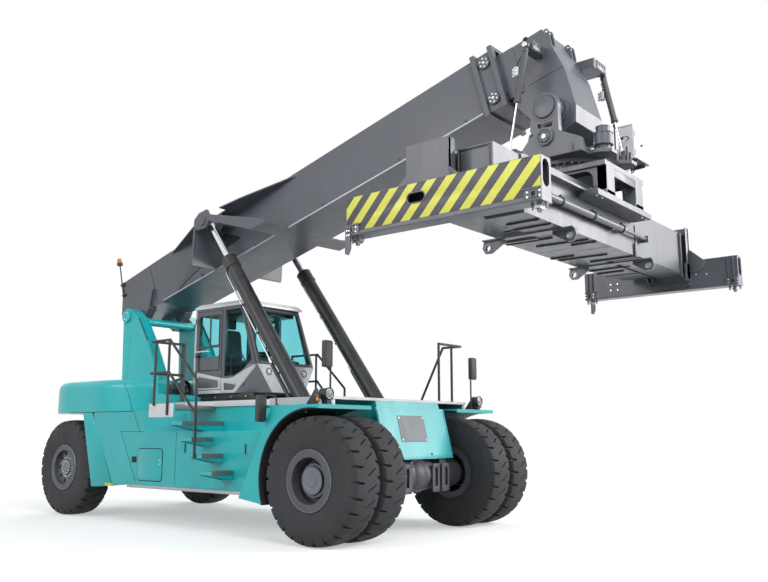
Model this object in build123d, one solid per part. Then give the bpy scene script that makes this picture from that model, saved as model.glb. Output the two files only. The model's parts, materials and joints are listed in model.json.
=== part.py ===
from build123d import *
from math import cos, hypot, radians, sin
import os

# Reach stacker with its spreader: every visible piece as its own solid, in millimetres.
# Frame: +X forward, +Y to the machine's left, +Z up, origin on the ground below the middle of the
# whole machine's box. Lengths along the machine are measured from the front axle.

os.makedirs("parts", exist_ok=True)

# ---------------------------------------------------------------- driving dimensions
front_axle_x = 1770         # front axle ahead of the origin
wheelbase = 6300
running_gap = 0.3           # between a shaft and its bore, and between sliding faces

tyre_radius = 815           # 18.00-25 tyre
tyre_width = 490
bead_radius = 318
rim_wall = 26
twin_spacing = 545          # between the two tyres of a front twin
front_wheel_y = 1537.5      # middle of the front twin
rear_wheel_y = 1465
kingpin_y = 1150
steer_clearance = 1030      # free radius about a kingpin

chassis_half = 740          # outer face of the frame rails, front and middle
rear_half = 580             # outer face of the rails between the steered wheels
rail_inner = 460
deck_z = 1850
deck_plate = 40
deck_half = 1330            # behind the front fenders
platform_half = 1560        # over the front fenders
set_back_y = 1310           # wall between the tanks and the deck
fender_y = 2050             # outer face of the front fenders
fender_top = 1770
body_y = 1700               # outer face of tanks, rear fenders and counterweight
tank_floor = 600
tank_top = 1430
body_seam_z = 1750          # underside of the counterweight
counterweight_top = 2300
counterweight_rear = wheelbase + 1150       # behind the front axle
counterweight_front = 4300
axle_block = wheelbase + 700                # rear end of the rails, where the counterweight's lower block starts

tower_outer = 750
tower_inner = 525
pivot_back = 6030           # boom pivot behind the front axle
pivot_z = 3550
pivot_pin = 90
boom_angle = 15.0           # parked boom angle above level
boom_half = 450
boom_bottom = 50            # underside of the outer boom above the pivot line
boom_depth = 870
boom_wall = 25
boom_length = 8400          # pivot to the front collar
inner_half = 385
inner_bottom = 115          # underside of the inner boom above the pivot line
inner_depth = 700
inner_wall = 20
telescope_stroke = 6000
boom_overlap = 1500         # kept inside the outer boom at full stroke
inner_tail = boom_length - telescope_stroke - boom_overlap

lift_y = 870                # lift cylinders' middle plane
lift_foot_back = 870        # lower pin behind the front axle
lift_foot_z = 1350
lift_top_u = 2740           # upper pin along the boom from the pivot
lift_top_w = 700            # upper pin above the pivot line
lift_tube_radius = 120
lift_rod_radius = 60
lift_tube_length = 3600
lift_rod_length = 3400
lift_eye_width = 110

spreader_x = front_axle_x + 2700
hanger_z = 5490             # hanger pin
hanger_plate_inner = 556
hanger_plate = 84
damper_y = 725
slew_radius = 480
ring_z = 4660               # top of the gantry plate
lock_spacing_x = 2259       # container corner spacing across
lock_spacing_y = 5853       # container corner spacing along, 20 ft position
lock_tip_z = 3450
end_beam_bottom = 3540
end_beam_top = 3980
end_beam_half = 1210
end_beam_width = 190
box_bottom = 3740           # underside of the spreader's main boxes
box_top = 4400
box_half = 480
box_short = 930             # short end of each main box from the middle
box_long = 2100             # long end
box_wall = 20
arm_tail = 2640

cab_rear = 4150             # behind the front axle
cab_front = 2540
cab_half = 640
cab_floor_z = 2050
cab_roof_z = 3500
cab_wall = 50
door_rear = 4095
door_front = 3420
door_gap = 6


# ---------------------------------------------------------------- helpers
def ahead(distance):
    """X of a point that lies this far ahead of the front axle."""
    return front_axle_x + distance


def slab(x, y, z):
    """A box from (low, high) pairs."""
    sizes = [high - low for low, high in (x, y, z)]
    middle = [(low + high) / 2 for low, high in (x, y, z)]
    return Pos(*middle) * Box(*sizes)


def outline(points):
    return make_face(Polyline(*points, close=True))


def side_plate(points, y_low, y_high):
    """A plate whose outline is in X and Z."""
    plane = Plane(origin=(0, y_high, 0), x_dir=(1, 0, 0), z_dir=(0, -1, 0))
    return extrude(plane * outline(points), y_high - y_low)


def flat_plate(points, z_low, z_high):
    """A plate whose outline is in X and Y."""
    return extrude(Pos(0, 0, z_low) * outline(points), z_high - z_low)


def bar(start, end, radius):
    axis = Vector(*end) - Vector(*start)
    return extrude(Plane(origin=start, z_dir=axis) * Circle(radius), axis.length)


def cross_bar(x, z, y_low, y_high, radius):
    """A round bar along Y."""
    return bar((x, y_low, z), (x, y_high, z), radius)


def both(shape):
    """The shape with its mirror image on the other side."""
    return shape + mirror(shape, about=Plane.XZ)


def turned(shape):
    """The shape turned half round the spreader's middle."""
    return Pos(spreader_x, 0, 0) * Rot(0, 0, 180) * Pos(-spreader_x, 0, 0) * shape


def ring(y_low, y_high, inner, outer, x, z):
    return cross_bar(x, z, y_low, y_high, outer) - cross_bar(x, z, y_low - 1, y_high + 1, inner)


def save(node, *shapes):
    solids = [solid for shape in shapes for solid in shape.solids()]
    export_step(Compound(children=solids) if len(solids) > 1 else solids[0], f"parts/{node}.step")


def save_sides(name, shape, side=-1):
    """Saves a shape modelled on one side (side -1 is the right) and its mirror image."""
    other = mirror(shape, about=Plane.XZ)
    save(f"{name}_right", shape if side < 0 else other)
    save(f"{name}_left", other if side < 0 else shape)


# the boom is drawn level in (u, w) about its pivot and then raised to its parked angle
pivot = (ahead(-pivot_back), pivot_z)


def boom_point(u, w):
    """World (x, z) of a point on the parked boom."""
    a = radians(boom_angle)
    return pivot[0] + u * cos(a) - w * sin(a), pivot[1] + u * sin(a) + w * cos(a)


def boom_plate(points, y_low, y_high):
    return side_plate([boom_point(u, w) for u, w in points], y_low, y_high)


def boom_slab(u, y, w):
    (u0, u1), (w0, w1) = u, w
    return boom_plate([(u0, w0), (u1, w0), (u1, w1), (u0, w1)], *y)


def boom_flat(points, w_low, w_high):
    """A plate parallel to the boom's top, its outline in u and Y."""
    a = radians(boom_angle)
    x, z = boom_point(0, w_low)
    plane = Plane(origin=(x, 0, z), x_dir=(cos(a), 0, sin(a)), z_dir=(-sin(a), 0, cos(a)))
    return extrude(plane * outline(points), w_high - w_low)


# ---------------------------------------------------------------- wheels
def tyre(x, y):
    """A solid tyre ring about an axle along Y; bead narrower than the section."""
    half = tyre_width / 2
    bead = half - 32
    profile = [(bead_radius + running_gap, bead), (bead_radius + 66, bead), (bead_radius + 110, half - 8),
               (bead_radius + 280, half), (tyre_radius - 75, half - 12), (tyre_radius - 22, half - 42),
               (tyre_radius, half - 85)]
    points = profile + [(r, -s) for r, s in reversed(profile)]
    section = Plane(origin=(x, y, tyre_radius), x_dir=(1, 0, 0), z_dir=(0, 0, 1)) * outline(points)
    return revolve(section, Axis((x, y, tyre_radius), (0, 1, 0)), 360)


def rim_barrel(x, y):
    """A rim's barrel with its two flanges."""
    bead = tyre_width / 2 - 32
    flange = 26
    barrel = ring(y - bead - flange, y + bead + flange, bead_radius - rim_wall, bead_radius, x, tyre_radius)
    for side in (-1, 1):
        low, high = sorted((y + side * (bead + running_gap), y + side * (bead + flange)))
        barrel += ring(low, high, bead_radius - 1, bead_radius + 64, x, tyre_radius)
    return barrel


front_x, rear_x = ahead(0), ahead(-wheelbase)
twin_ys = [front_wheel_y - twin_spacing / 2, front_wheel_y + twin_spacing / 2]
front_bore = 150
front_spindle_end = front_wheel_y - 40

front_tyres = [tyre(front_x, -y) for y in twin_ys]
front_rims = rim_barrel(front_x, -twin_ys[0]) + rim_barrel(front_x, -twin_ys[1])
spacer_half = twin_spacing / 2 - tyre_width / 2 + 12.5      # the spacer ring overlaps both barrels
front_rims += ring(-front_wheel_y - spacer_half, -front_wheel_y + spacer_half, bead_radius - rim_wall - 1,
                   bead_radius + 10, front_x, tyre_radius)
front_rims += cross_bar(front_x, tyre_radius, -front_wheel_y - 60, -front_wheel_y - 20, bead_radius - rim_wall + 1)
front_rims += cross_bar(front_x, tyre_radius, -front_wheel_y - 400, -front_wheel_y + 240, 215)
front_rims += cross_bar(front_x, tyre_radius, -front_wheel_y - 440, -front_wheel_y - 399, 175)
front_rims -= cross_bar(front_x, tyre_radius, -front_spindle_end, -front_wheel_y + 241, front_bore + running_gap)

rear_bore = 90
spindle_end = rear_wheel_y + 60
rear_rim = rim_barrel(rear_x, -rear_wheel_y)
rear_disc_y = rear_wheel_y + 95
rear_rim += cross_bar(rear_x, tyre_radius, -rear_disc_y - 15, -rear_disc_y + 15, bead_radius - rim_wall + 1)
rear_rim += cross_bar(rear_x, tyre_radius, -rear_disc_y - 95, -rear_wheel_y + 60, 135)
for index in range(10):
    angle = radians(36 * index)
    rear_rim -= cross_bar(rear_x + 225 * cos(angle), tyre_radius + 225 * sin(angle),
                          -rear_disc_y - 20, -rear_disc_y + 20, 30)
rear_rim -= cross_bar(rear_x, tyre_radius, -spindle_end, -rear_wheel_y + 61, rear_bore + running_gap)

save_sides("front_tyres", front_tyres[0] + front_tyres[1])
save_sides("front_rims", front_rims)
save_sides("rear_tyre", tyre(rear_x, -rear_wheel_y))
save_sides("rear_rim", rear_rim)

# ---------------------------------------------------------------- axles and knuckles
axle_pad_top = 1060
front_axle = cross_bar(front_x, tyre_radius, -front_wheel_y + 250, front_wheel_y - 250, 185)
front_axle += cross_bar(front_x, tyre_radius, -front_spindle_end + 20, front_spindle_end - 20, front_bore)
front_axle += Pos(front_x + 40, 0, tyre_radius) * Sphere(238)
front_axle += cross_bar(front_x, tyre_radius, -330, 330, 235)
front_axle += both(slab((front_x - 220, front_x + 180), (-(rail_inner + 220), -rail_inner - 60),
                        (tyre_radius - 215, axle_pad_top)))
save("front_axle", front_axle)

fork_arm = 60
fork_half = 245             # kingpin fork above and below the axle
kingpin_radius = 60
fork_low, fork_high = tyre_radius - fork_half, tyre_radius + fork_half
fork = slab((rear_x - 130, rear_x + 130), (-1000, -860), (fork_low, fork_high))
for low, high in ((fork_low, fork_low + fork_arm), (fork_high - fork_arm, fork_high)):
    fork += slab((rear_x - 100, rear_x + 100), (-kingpin_y, -999), (low, high))
    fork += bar((rear_x, -kingpin_y, low), (rear_x, -kingpin_y, high), 100)
fork += bar((rear_x, -kingpin_y, fork_low), (rear_x, -kingpin_y, fork_high), kingpin_radius)
rear_axle = slab((rear_x - 160, rear_x + 160), (-900, 900), (tyre_radius - 130, tyre_radius + 150)) + both(fork)
rear_saddle_top = 1150
rear_axle += slab((rear_x - 160, rear_x + 160), (-rear_half, rear_half), (tyre_radius + 149, rear_saddle_top))
save("rear_axle", rear_axle)

knuckle_half = fork_half - fork_arm - 8
knuckle = bar((rear_x, -kingpin_y, tyre_radius - knuckle_half), (rear_x, -kingpin_y, tyre_radius + knuckle_half), 105)
knuckle += cross_bar(rear_x, tyre_radius, -kingpin_y - 220, -kingpin_y, 125)
knuckle += cross_bar(rear_x, tyre_radius, -spindle_end + 20, -kingpin_y, rear_bore)
knuckle -= bar((rear_x, -kingpin_y, fork_low), (rear_x, -kingpin_y, fork_high), kingpin_radius + running_gap)
save_sides("knuckle", knuckle)

# ---------------------------------------------------------------- chassis
front_lean = 200            # the front panel's foot stands this far ahead of its top
frame_floor = 650
rail_step = wheelbase - 1150     # the rails narrow behind this for the steered wheels
rail = side_plate([(ahead(-rail_step), body_seam_z), (ahead(-rail_step), 900), (ahead(250 - rail_step), frame_floor),
                   (ahead(-950), frame_floor), (ahead(-500), axle_pad_top), (ahead(front_lean), axle_pad_top),
                   (ahead(0), deck_z), (ahead(-counterweight_front), deck_z),
                   (ahead(-counterweight_front), body_seam_z)], -chassis_half, -rail_inner)
rail += side_plate([(ahead(-axle_block), body_seam_z), (ahead(-axle_block), rear_saddle_top),
                    (ahead(1 - rail_step), rear_saddle_top), (ahead(1 - rail_step), body_seam_z)],
                   -rear_half, -rail_inner)
chassis = both(rail)
for back, front, low, high in ((-1650, -1500, 700, 1700), (-4600, -4450, 700, 1700),
                               (-axle_block, 150 - axle_block, 1200, 1700)):
    chassis += slab((ahead(back), ahead(front)), (-rail_inner - 1, rail_inner + 1), (low, high))
nose = side_plate([(ahead(-250), axle_pad_top), (ahead(front_lean), axle_pad_top), (ahead(0), deck_z),
                   (ahead(-250), deck_z)], -chassis_half, chassis_half)
chassis += nose
lift_foot = (ahead(-lift_foot_back), lift_foot_z)
lift_pin_radius = 55
chassis += both(cross_bar(*lift_foot, -lift_y - lift_eye_width / 2 - 30, -chassis_half + 1, lift_pin_radius))
save("chassis_frame", chassis)

engine = slab((ahead(-6000), ahead(-4600 - running_gap)),
              (-rail_inner + running_gap, rail_inner - running_gap), (1180, 1730))
save("engine_block", engine)

panel_half = 800
panel_plate = 30
panel_top = fender_top - 10
slope = front_lean / (deck_z - axle_pad_top)


def panel_x(z):
    """X of the sloping front face at a height."""
    return ahead(front_lean - (z - axle_pad_top) * slope)


panel = side_plate([(panel_x(1040), 1040), (panel_x(1040) + panel_plate, 1040),
                    (panel_x(panel_top) + panel_plate, panel_top), (panel_x(panel_top), panel_top)],
                   -panel_half, panel_half)
save("front_panel", panel)

# deck with slots for the lift cylinders
cylinder_slot = ((ahead(-1750), ahead(-950)), (-1012, -chassis_half - 5))
platform_rear = -1250
deck = slab((ahead(-counterweight_front + 500), ahead(-40)), (-deck_half, deck_half), (deck_z, deck_z + deck_plate))
deck += slab((ahead(platform_rear), ahead(-40)), (-platform_half, platform_half), (deck_z, deck_z + deck_plate))
deck += both(slab((ahead(platform_rear), ahead(-60)), (-platform_half, 60 - platform_half), (fender_top, deck_z)))
deck -= both(slab(*cylinder_slot, (deck_z - 200, deck_z + 100)))
save("deck", deck)

# fuel and oil tanks: the lower boxes stand out, the upper ones are set back
tank_front = ahead(-980)
tank_neck = ahead(-1800)
tank = slab((ahead(-counterweight_front), tank_neck), (-body_y, -chassis_half), (tank_floor, tank_top))
tank += slab((tank_neck - 1, tank_front), (-body_y, -1022), (tank_floor, tank_top))
tank += slab((ahead(-counterweight_front), tank_neck), (-set_back_y, -chassis_half), (tank_top - 1, deck_z))
tank += slab((tank_neck - 1, ahead(platform_rear)), (-set_back_y, -1022), (tank_top - 1, deck_z))
tank += flat_plate([(ahead(-counterweight_front), -body_y), (ahead(-4000), -body_y), (ahead(-3400), -set_back_y),
                    (ahead(-counterweight_front), -set_back_y)], tank_top - 1, body_seam_z)
ledge = slab((ahead(-counterweight_front), tank_front - 400), (-body_y - 60, -body_y + 200),
             (tank_floor - 45, tank_floor))
save("side_tanks", both(tank))
save("sill_rails", both(ledge))

# front fenders: outer cheek, wheel-arch sheet and top
arch_radius = 915
cheek = 60
arch_sheet = 25
cheek_points = [(ahead(-1300), 545), (ahead(-800), 480), (ahead(-640), 900), (ahead(-200), fender_top - 80),
                (ahead(165), fender_top - 80), (ahead(165), fender_top), (ahead(-690), fender_top)]
cheek_plate = side_plate(cheek_points, -fender_y, -fender_y + cheek)
cheek_plate -= cross_bar(front_x, tyre_radius, -fender_y - 1, -fender_y + cheek + 1, arch_radius)
arch_y = (-fender_y, -1022)
arch = ring(*arch_y, arch_radius, arch_radius + arch_sheet, front_x, tyre_radius)
arch &= slab((ahead(-950), ahead(-280)), (-fender_y - 1, -1000), (480, fender_top - 1))
fender_lid = slab((ahead(-700), ahead(165)), arch_y, (fender_top - 30, fender_top))
fender_lid -= slab(*cylinder_slot, (fender_top - 100, fender_top + 1))
fender_lip = slab((ahead(140), ahead(165)), arch_y, (fender_top - 80, fender_top))
fender_back = slab((ahead(-1000), ahead(-690)), (-fender_y, -1022), (fender_top - 30, fender_top))
fender_back &= slab((ahead(-978), ahead(-690)), (-fender_y + 1, -1023), (fender_top - 31, fender_top + 1))
front_fender = cheek_plate + arch + fender_lid + fender_lip + fender_back
front_fender -= cross_bar(front_x, tyre_radius, -fender_y - 1, -1000, arch_radius)
save("front_fenders", both(front_fender))

# rear fenders, cut free for the steered wheels
rear_fender = side_plate([(ahead(600 - wheelbase), body_seam_z), (ahead(820 - wheelbase), 1250),
                          (ahead(980 - wheelbase), 520), (ahead(-4740), 560), (ahead(-counterweight_front), 600),
                          (ahead(-counterweight_front), body_seam_z)], -body_y, -chassis_half)
arch_cut = bar((rear_x, -kingpin_y, 100), (rear_x, -kingpin_y, body_seam_z), steer_clearance)
rear_fender -= arch_cut
save("rear_fenders", both(rear_fender))

# counterweight: rounded tail over the rear wheels, a lower block between them, a hood at its front
corner_radius = 1150
top_round = 140
tail = slab((ahead(-counterweight_rear), ahead(-counterweight_front)), (-body_y, body_y),
            (body_seam_z, counterweight_top))
tail_corners = [e for e in tail.edges().filter_by(Axis.Z) if e.center().X < 0]
tail = fillet(tail_corners, corner_radius)
tail = fillet(tail.edges().group_by(Axis.Z)[-1].filter_by(lambda e: e.center().X < ahead(-4400)), top_round)
tower_base_x = (ahead(-6110), ahead(-4700))
tower_slot = both(slab(tower_base_x, (-tower_outer, -tower_inner), (body_seam_z - 1, counterweight_top + 1)))
counterweight = tail - tower_slot
counterweight += slab((ahead(-counterweight_rear + 10), ahead(-axle_block - running_gap)), (-rear_half, rear_half),
                      (750, body_seam_z + 1))
save("counterweight", counterweight)

hood_x = ahead(-counterweight_front + running_gap)
hood_half = 1310
hood = side_plate([(hood_x, deck_z), (ahead(-3960), deck_z), (ahead(-3960), 1960), (ahead(-4040), 2030),
                   (ahead(-4205), 2045), (ahead(-4205), 2150), (ahead(-4250), counterweight_top - 70),
                   (hood_x, counterweight_top - 60)], -hood_half, hood_half)
save("engine_hood", hood)

# boom towers with their cross tube and pivot pins
tower = side_plate([(ahead(-6110), body_seam_z), (ahead(-4700), body_seam_z), (ahead(-5000), 2340),
                    (ahead(-5190), 2690), (ahead(-5390), 3050), (ahead(-5690), 3490), (ahead(-5930), pivot_z + 125),
                    (ahead(-6090), pivot_z + 120), (ahead(-6150), pivot_z), (ahead(-6110), counterweight_top + 100)],
                   -tower_outer, -tower_inner)
tower += cross_bar(*pivot, -tower_outer, -tower_inner, 150)
tower += cross_bar(*pivot, -tower_outer - 35, -tower_outer + 1, 120)
tower += cross_bar(*pivot, -tower_outer - 20, -boom_half + 140, pivot_pin)
towers = both(tower) + cross_bar(ahead(-5740), 3446, -tower_inner - 1, tower_inner + 1, 70)
save("boom_tower", towers)

# ---------------------------------------------------------------- steps, rails, lamps and mirrors
rail_radius = 20
rail_y = 2110
step_outer = rail_y - rail_radius - running_gap
step_count = 4
step_run, step_rise = 235, 232
tread_depth, tread = 240, 50
top_tread_front, top_tread_z = 2522, 1572       # behind the front axle
wedge_slope = 0.205         # each tread's underside deepens towards the tank
landing_back, landing_front = 3330, 2730
landing_top, landing_low = 1810, 1745
end_panel = 30              # upright panel closing the landing's outer end
steps = Part()
for index in range(step_count):
    z = top_tread_z - index * step_rise
    front = top_tread_front - index * step_run
    inner = set_back_y if z > tank_top else body_y
    bracket = outline([(-step_outer, z), (-inner, z), (-inner, z - tread - (step_outer - inner) * wedge_slope),
                       (-step_outer, z - tread)])
    steps += extrude(Plane(origin=(ahead(-front - tread_depth), 0, 0), x_dir=(0, 1, 0), z_dir=(1, 0, 0)) * bracket,
                     tread_depth)
landing_x = (ahead(-landing_back), ahead(-landing_front))
steps += slab(landing_x, (-step_outer, -set_back_y), (landing_low, landing_top))
steps += slab(landing_x, (-step_outer, end_panel - step_outer), (landing_low - 110, landing_top + 35))
steps -= tank
save("steps", both(steps))

# the right rail follows the steps; the left one stands on the deck, with a second one at its front
rail_top, rail_middle = 2780, 2297
rail_foot = 1060
deck_top = deck_z + deck_plate
slope_top, slope_foot = 2850, 2190         # behind the front axle
slope_z = 2155
right_rail_back = 3292
inner_post_y = 1520
left_rail_y = 1290


def tube(points):
    """A round tube bent through the points."""
    shape = Part()
    for start, end in zip(points, points[1:]):
        shape += bar(start, end, rail_radius)
    for bend in points[1:-1]:
        shape += Pos(*bend) * Sphere(rail_radius + 1)
    return shape


def rail_line(y, *points):
    """A tube in the plane y through (behind the front axle, z) points."""
    return tube([(ahead(-back), y, z) for back, z in points])


drop = rail_top - rail_middle
right_back = (right_rail_back, rail_top)
handrails = rail_line(-rail_y, right_back, (slope_top, rail_top), (slope_foot, slope_z), (slope_foot, rail_foot))
handrails += rail_line(-rail_y, (right_rail_back, rail_middle), (slope_top, rail_middle), (slope_foot, slope_z - drop))
handrails += rail_line(-rail_y, (3190, rail_top), (3190, landing_top))
handrails += rail_line(-rail_y, (slope_top + 10, rail_top), (slope_top + 10, landing_low - 80))
for z in (rail_top, rail_middle):
    handrails += tube([(ahead(-right_rail_back), -rail_y, z), (ahead(-right_rail_back), -inner_post_y, z)])
handrails += slab((ahead(-right_rail_back - 37), ahead(-right_rail_back + 40)),
                  (-inner_post_y - 15, -inner_post_y + 15), (landing_top, rail_top + rail_radius))
left_back, left_bend, left_foot = 3720, 3070, 2400     # back end clear of the left door's sweep
handrails += rail_line(left_rail_y, (left_back, deck_z), (left_back, rail_top + 30), (left_bend, rail_top + 30),
                       (left_foot, slope_z + 20), (left_foot, deck_z))
handrails += rail_line(left_rail_y, (left_back, rail_middle + 30), (left_bend, rail_middle + 30), (2615, deck_z))
handrails += rail_line(left_rail_y, (left_bend + 30, rail_top + 30), (left_bend + 30, deck_z))
corner_back, corner_y, corner_inner = 85, 1500, 900
handrails += tube([(ahead(-corner_back), corner_inner, deck_z), (ahead(-corner_back), corner_inner, rail_top),
                   (ahead(-corner_back), corner_y, rail_top), (ahead(-430), corner_y, rail_top),
                   (ahead(-920), corner_y, deck_z)])
handrails += tube([(ahead(-260), corner_y, rail_top), (ahead(-260), corner_y, deck_z)])
handrails -= slab((ahead(-3800), ahead(-40)), (-platform_half, platform_half), (deck_z - 100, deck_top))
handrails -= hood
save("handrails", handrails)

lamp = (ahead(40), -1770, 1908)
lamps = bar((lamp[0] - 80, lamp[1], lamp[2]), (lamp[0] + 50, lamp[1], lamp[2]), 75)
lamps += slab((lamp[0] - 60, lamp[0] + 40), (lamp[1] - 30, lamp[1] + 30), (fender_top, lamp[2]))
save("headlamps", both(lamps))

mirror_size = (76, 155, 358)
mirror_box = Pos(ahead(0), -1722, 2432) * Box(*mirror_size)
mirror_box += bar((ahead(0), -1660, 2260), (ahead(0), -1660, fender_top), 14)
low_mirror = Pos(ahead(-795), -2140, 1728) * Box(*mirror_size)
low_mirror += tube([(ahead(-795), -2140, 1890), (ahead(-620), -2030, 1890), (ahead(-620), -2030, fender_top)])
save("mirrors", both(mirror_box) + both(low_mirror))

# ---------------------------------------------------------------- cab
mount_z = deck_z + deck_plate
cab_x = (ahead(-cab_rear), ahead(-cab_front))
floor_top = cab_floor_z + 60
waist_z = 2500
screen_top = 2925           # windscreen's top behind the front axle
screen_post = 60            # between the windscreen and the cab's side face
nose_back = ahead(-3050)
base = slab((cab_x[0], nose_back), (-cab_half, cab_half), (cab_floor_z, floor_top))
base += side_plate([(nose_back - 1, cab_floor_z), (cab_x[1] + 60, cab_floor_z), (cab_x[1], waist_z),
                    (ahead(-2780), waist_z), (ahead(-2860), floor_top + 60), (nose_back - 1, floor_top)],
                   -cab_half, cab_half)
facet_line = Vector(ahead(-2550) - nose_back, 0, waist_z - 24 - cab_floor_z)     # along the cab's side
facet_front = Vector(cab_x[1] + 60 - nose_back, cab_half - 365, 0)       # to the front face
facet = Plane(origin=(nose_back, -cab_half, cab_floor_z), x_dir=facet_line, z_dir=facet_front.cross(facet_line))
base -= both(extrude(facet * Rectangle(2000, 2000), 400))
for back in (3950, 2900):
    base += both(slab((ahead(-back), ahead(-back + 150)), (-500, -380), (mount_z, cab_floor_z + 1)))
save("cab_base", base)

shell_profile = [(cab_x[0], floor_top), (cab_x[0] + 20, cab_roof_z), (ahead(-screen_top), cab_roof_z),
                 (cab_x[1], waist_z), (ahead(-2780), waist_z), (ahead(-2860), floor_top + 60),
                 (nose_back, floor_top)]
inner_profile = [(cab_x[0] + cab_wall, floor_top - 1), (cab_x[0] + cab_wall + 20, cab_roof_z + 1),
                 (ahead(-screen_top) - cab_wall, cab_roof_z + 1), (cab_x[1] - cab_wall, waist_z - 1),
                 (ahead(-2781), waist_z - 1), (ahead(-2861), floor_top + 59), (nose_back - 1, floor_top - 1)]
shell = side_plate(shell_profile, -cab_half, cab_half)
shell -= side_plate(inner_profile, -cab_half + cab_wall, cab_half - cab_wall)
door_hole = slab((ahead(-door_rear), ahead(-door_front)), (-cab_half - 1, -cab_half + cab_wall + 1),
                 (floor_top - 1, cab_roof_z - 45))
side_window = [(ahead(-3350), 2330), (ahead(-3350), cab_roof_z - 60), (ahead(-2965), cab_roof_z - 60),
               (ahead(-2680), 2580), (ahead(-2900), 2420), (ahead(-3100), 2340)]
window_y = (-cab_half - 1, -cab_half + cab_wall + 1)
screen_y = (-cab_half + screen_post, cab_half - screen_post)
lean = (screen_top - cab_front) / (cab_roof_z - waist_z)


def screen_plate(z_low, z_high, thick, y):
    """A plate in the sloping windscreen's plane, reaching this far in from its outer face."""
    x_low, x_high = cab_x[1] - (z_low - waist_z) * lean, cab_x[1] - (z_high - waist_z) * lean
    return side_plate([(x_low - thick[1], z_low), (x_low - thick[0], z_low), (x_high - thick[0], z_high),
                       (x_high - thick[1], z_high)], *y)


rear_window = ((cab_x[0] - 30, cab_x[0] + cab_wall + 30), (-cab_half + 110, cab_half - 110),
               (2700, cab_roof_z - 100))
shell -= both(door_hole)
shell -= both(side_plate(side_window, *window_y))
shell -= screen_plate(waist_z + 30, cab_roof_z - 60, (-60, cab_wall + 60), screen_y)
shell -= slab(*rear_window)
shell -= base
save("cab_frame", shell)

glass = 8
glass_y = (-cab_half + 15, -cab_half + 15 + glass)
windows = both(side_plate(side_window, *glass_y))
windows += screen_plate(waist_z + 30, cab_roof_z - 60, (15, 15 + glass), screen_y)
windows += slab((cab_x[0] + 25, cab_x[0] + 25 + glass), *rear_window[1:])
save("cab_windows", windows)

roof = slab((cab_x[0] - 10, ahead(-2850)), (-cab_half - 10, cab_half + 10), (cab_roof_z, cab_roof_z + 90))
roof = chamfer(roof.edges().group_by(Axis.Z)[-1], 60)
save("cab_roof", roof)

door_x = (ahead(-door_rear) + door_gap, ahead(-door_front) - door_gap)
door_z = (floor_top + door_gap, cab_roof_z - 45 - door_gap)
door_y = (-cab_half - 2, -cab_half + cab_wall)
door_window = ((door_x[0] + 60, door_x[1] - 55), door_y, (2440, door_z[1] - 70))
door = slab(door_x, door_y, door_z)
door -= slab(door_window[0], (door_y[0] - 1, door_y[1] + 1), door_window[2])
hinge_x, hinge_y = ahead(-door_rear) - 8, -cab_half - 16
for z in (2350, 3250):
    door += bar((hinge_x, hinge_y, z), (hinge_x, hinge_y, z + 90), 13)
    door += slab((hinge_x, door_x[0] + 40), (hinge_y - 8, -cab_half - running_gap), (z, z + 90))
save_sides("cab_door", door)
save_sides("door_window", slab(door_window[0], glass_y, door_window[2]))

seat = slab((ahead(-3900), ahead(-3400)), (-250, 250), (2480, 2600))
seat += side_plate([(ahead(-3960), 2500), (ahead(-3840), 2500), (ahead(-3940), 3220), (ahead(-4030), 3220)],
                   -240, 240)
seat += slab((ahead(-3800), ahead(-3500)), (-150, 150), (floor_top, 2481))
save("cab_seat", seat)
column = slab((ahead(-3170), ahead(-3060)), (-60, 60), (floor_top, floor_top + 60))
column += bar((ahead(-3110), 0, floor_top + 40), (ahead(-3160), 0, 2700), 45)
column += bar((ahead(-3160), 0, 2690), (ahead(-3163), 0, 2730), 190)
save("steering_column", column)

# ---------------------------------------------------------------- boom
collar_rows = [(8040, 8110), (8330, boom_length)]      # along the boom
collar_height = 40
boom_top = boom_bottom + boom_depth
inner_top = inner_bottom + inner_depth
outer = boom_plate([(-598, 260), (-520, 210), (700, boom_bottom), (boom_length, boom_bottom),
                    (boom_length, boom_top), (900, boom_top), (420, boom_top - 10), (-439, boom_top - 30)],
                   -boom_half, boom_half)
outer -= boom_slab((700, boom_length + 1), (-boom_half + boom_wall, boom_half - boom_wall),
                   (boom_bottom + boom_wall, boom_top - boom_wall))
for low, high in collar_rows:
    collar = boom_slab((low, high), (-boom_half - 50, boom_half + 50),
                       (boom_bottom - collar_height, boom_top + collar_height))
    outer += collar - boom_slab((low - 1, high + 1), (-boom_half + 1, boom_half - 1), (boom_bottom + 1, boom_top - 1))
# wear pads of the outer boom's mouth
pad_u = (boom_length - 220, boom_length)
pad = boom_slab(pad_u, (-300, 300), (boom_bottom + boom_wall - 1, inner_bottom - running_gap))
pad += boom_slab(pad_u, (-300, 300), (inner_top + running_gap, boom_top - boom_wall + 1))
pad += both(boom_slab(pad_u, (-boom_half + boom_wall - 1, -inner_half - running_gap),
                      (inner_bottom + 100, inner_top - 100)))
outer += pad
# bottom flange and pivot lugs
outer += both(boom_slab((760, 8030), (-boom_half - 50, -boom_half + 1), (boom_bottom, boom_bottom + 30)))
lug_y = (-tower_inner + 20, -boom_half + 120)
lug = boom_plate([(-190, -60), (-110, -150), (90, -150), (180, -40), (330, boom_bottom + 20), (520, 400),
                  (-440, 400), (-440, 215)], *lug_y)
outer += both(lug)
outer -= both(cross_bar(*pivot, -tower_inner - 1, -boom_half + 141, pivot_pin + running_gap))

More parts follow.
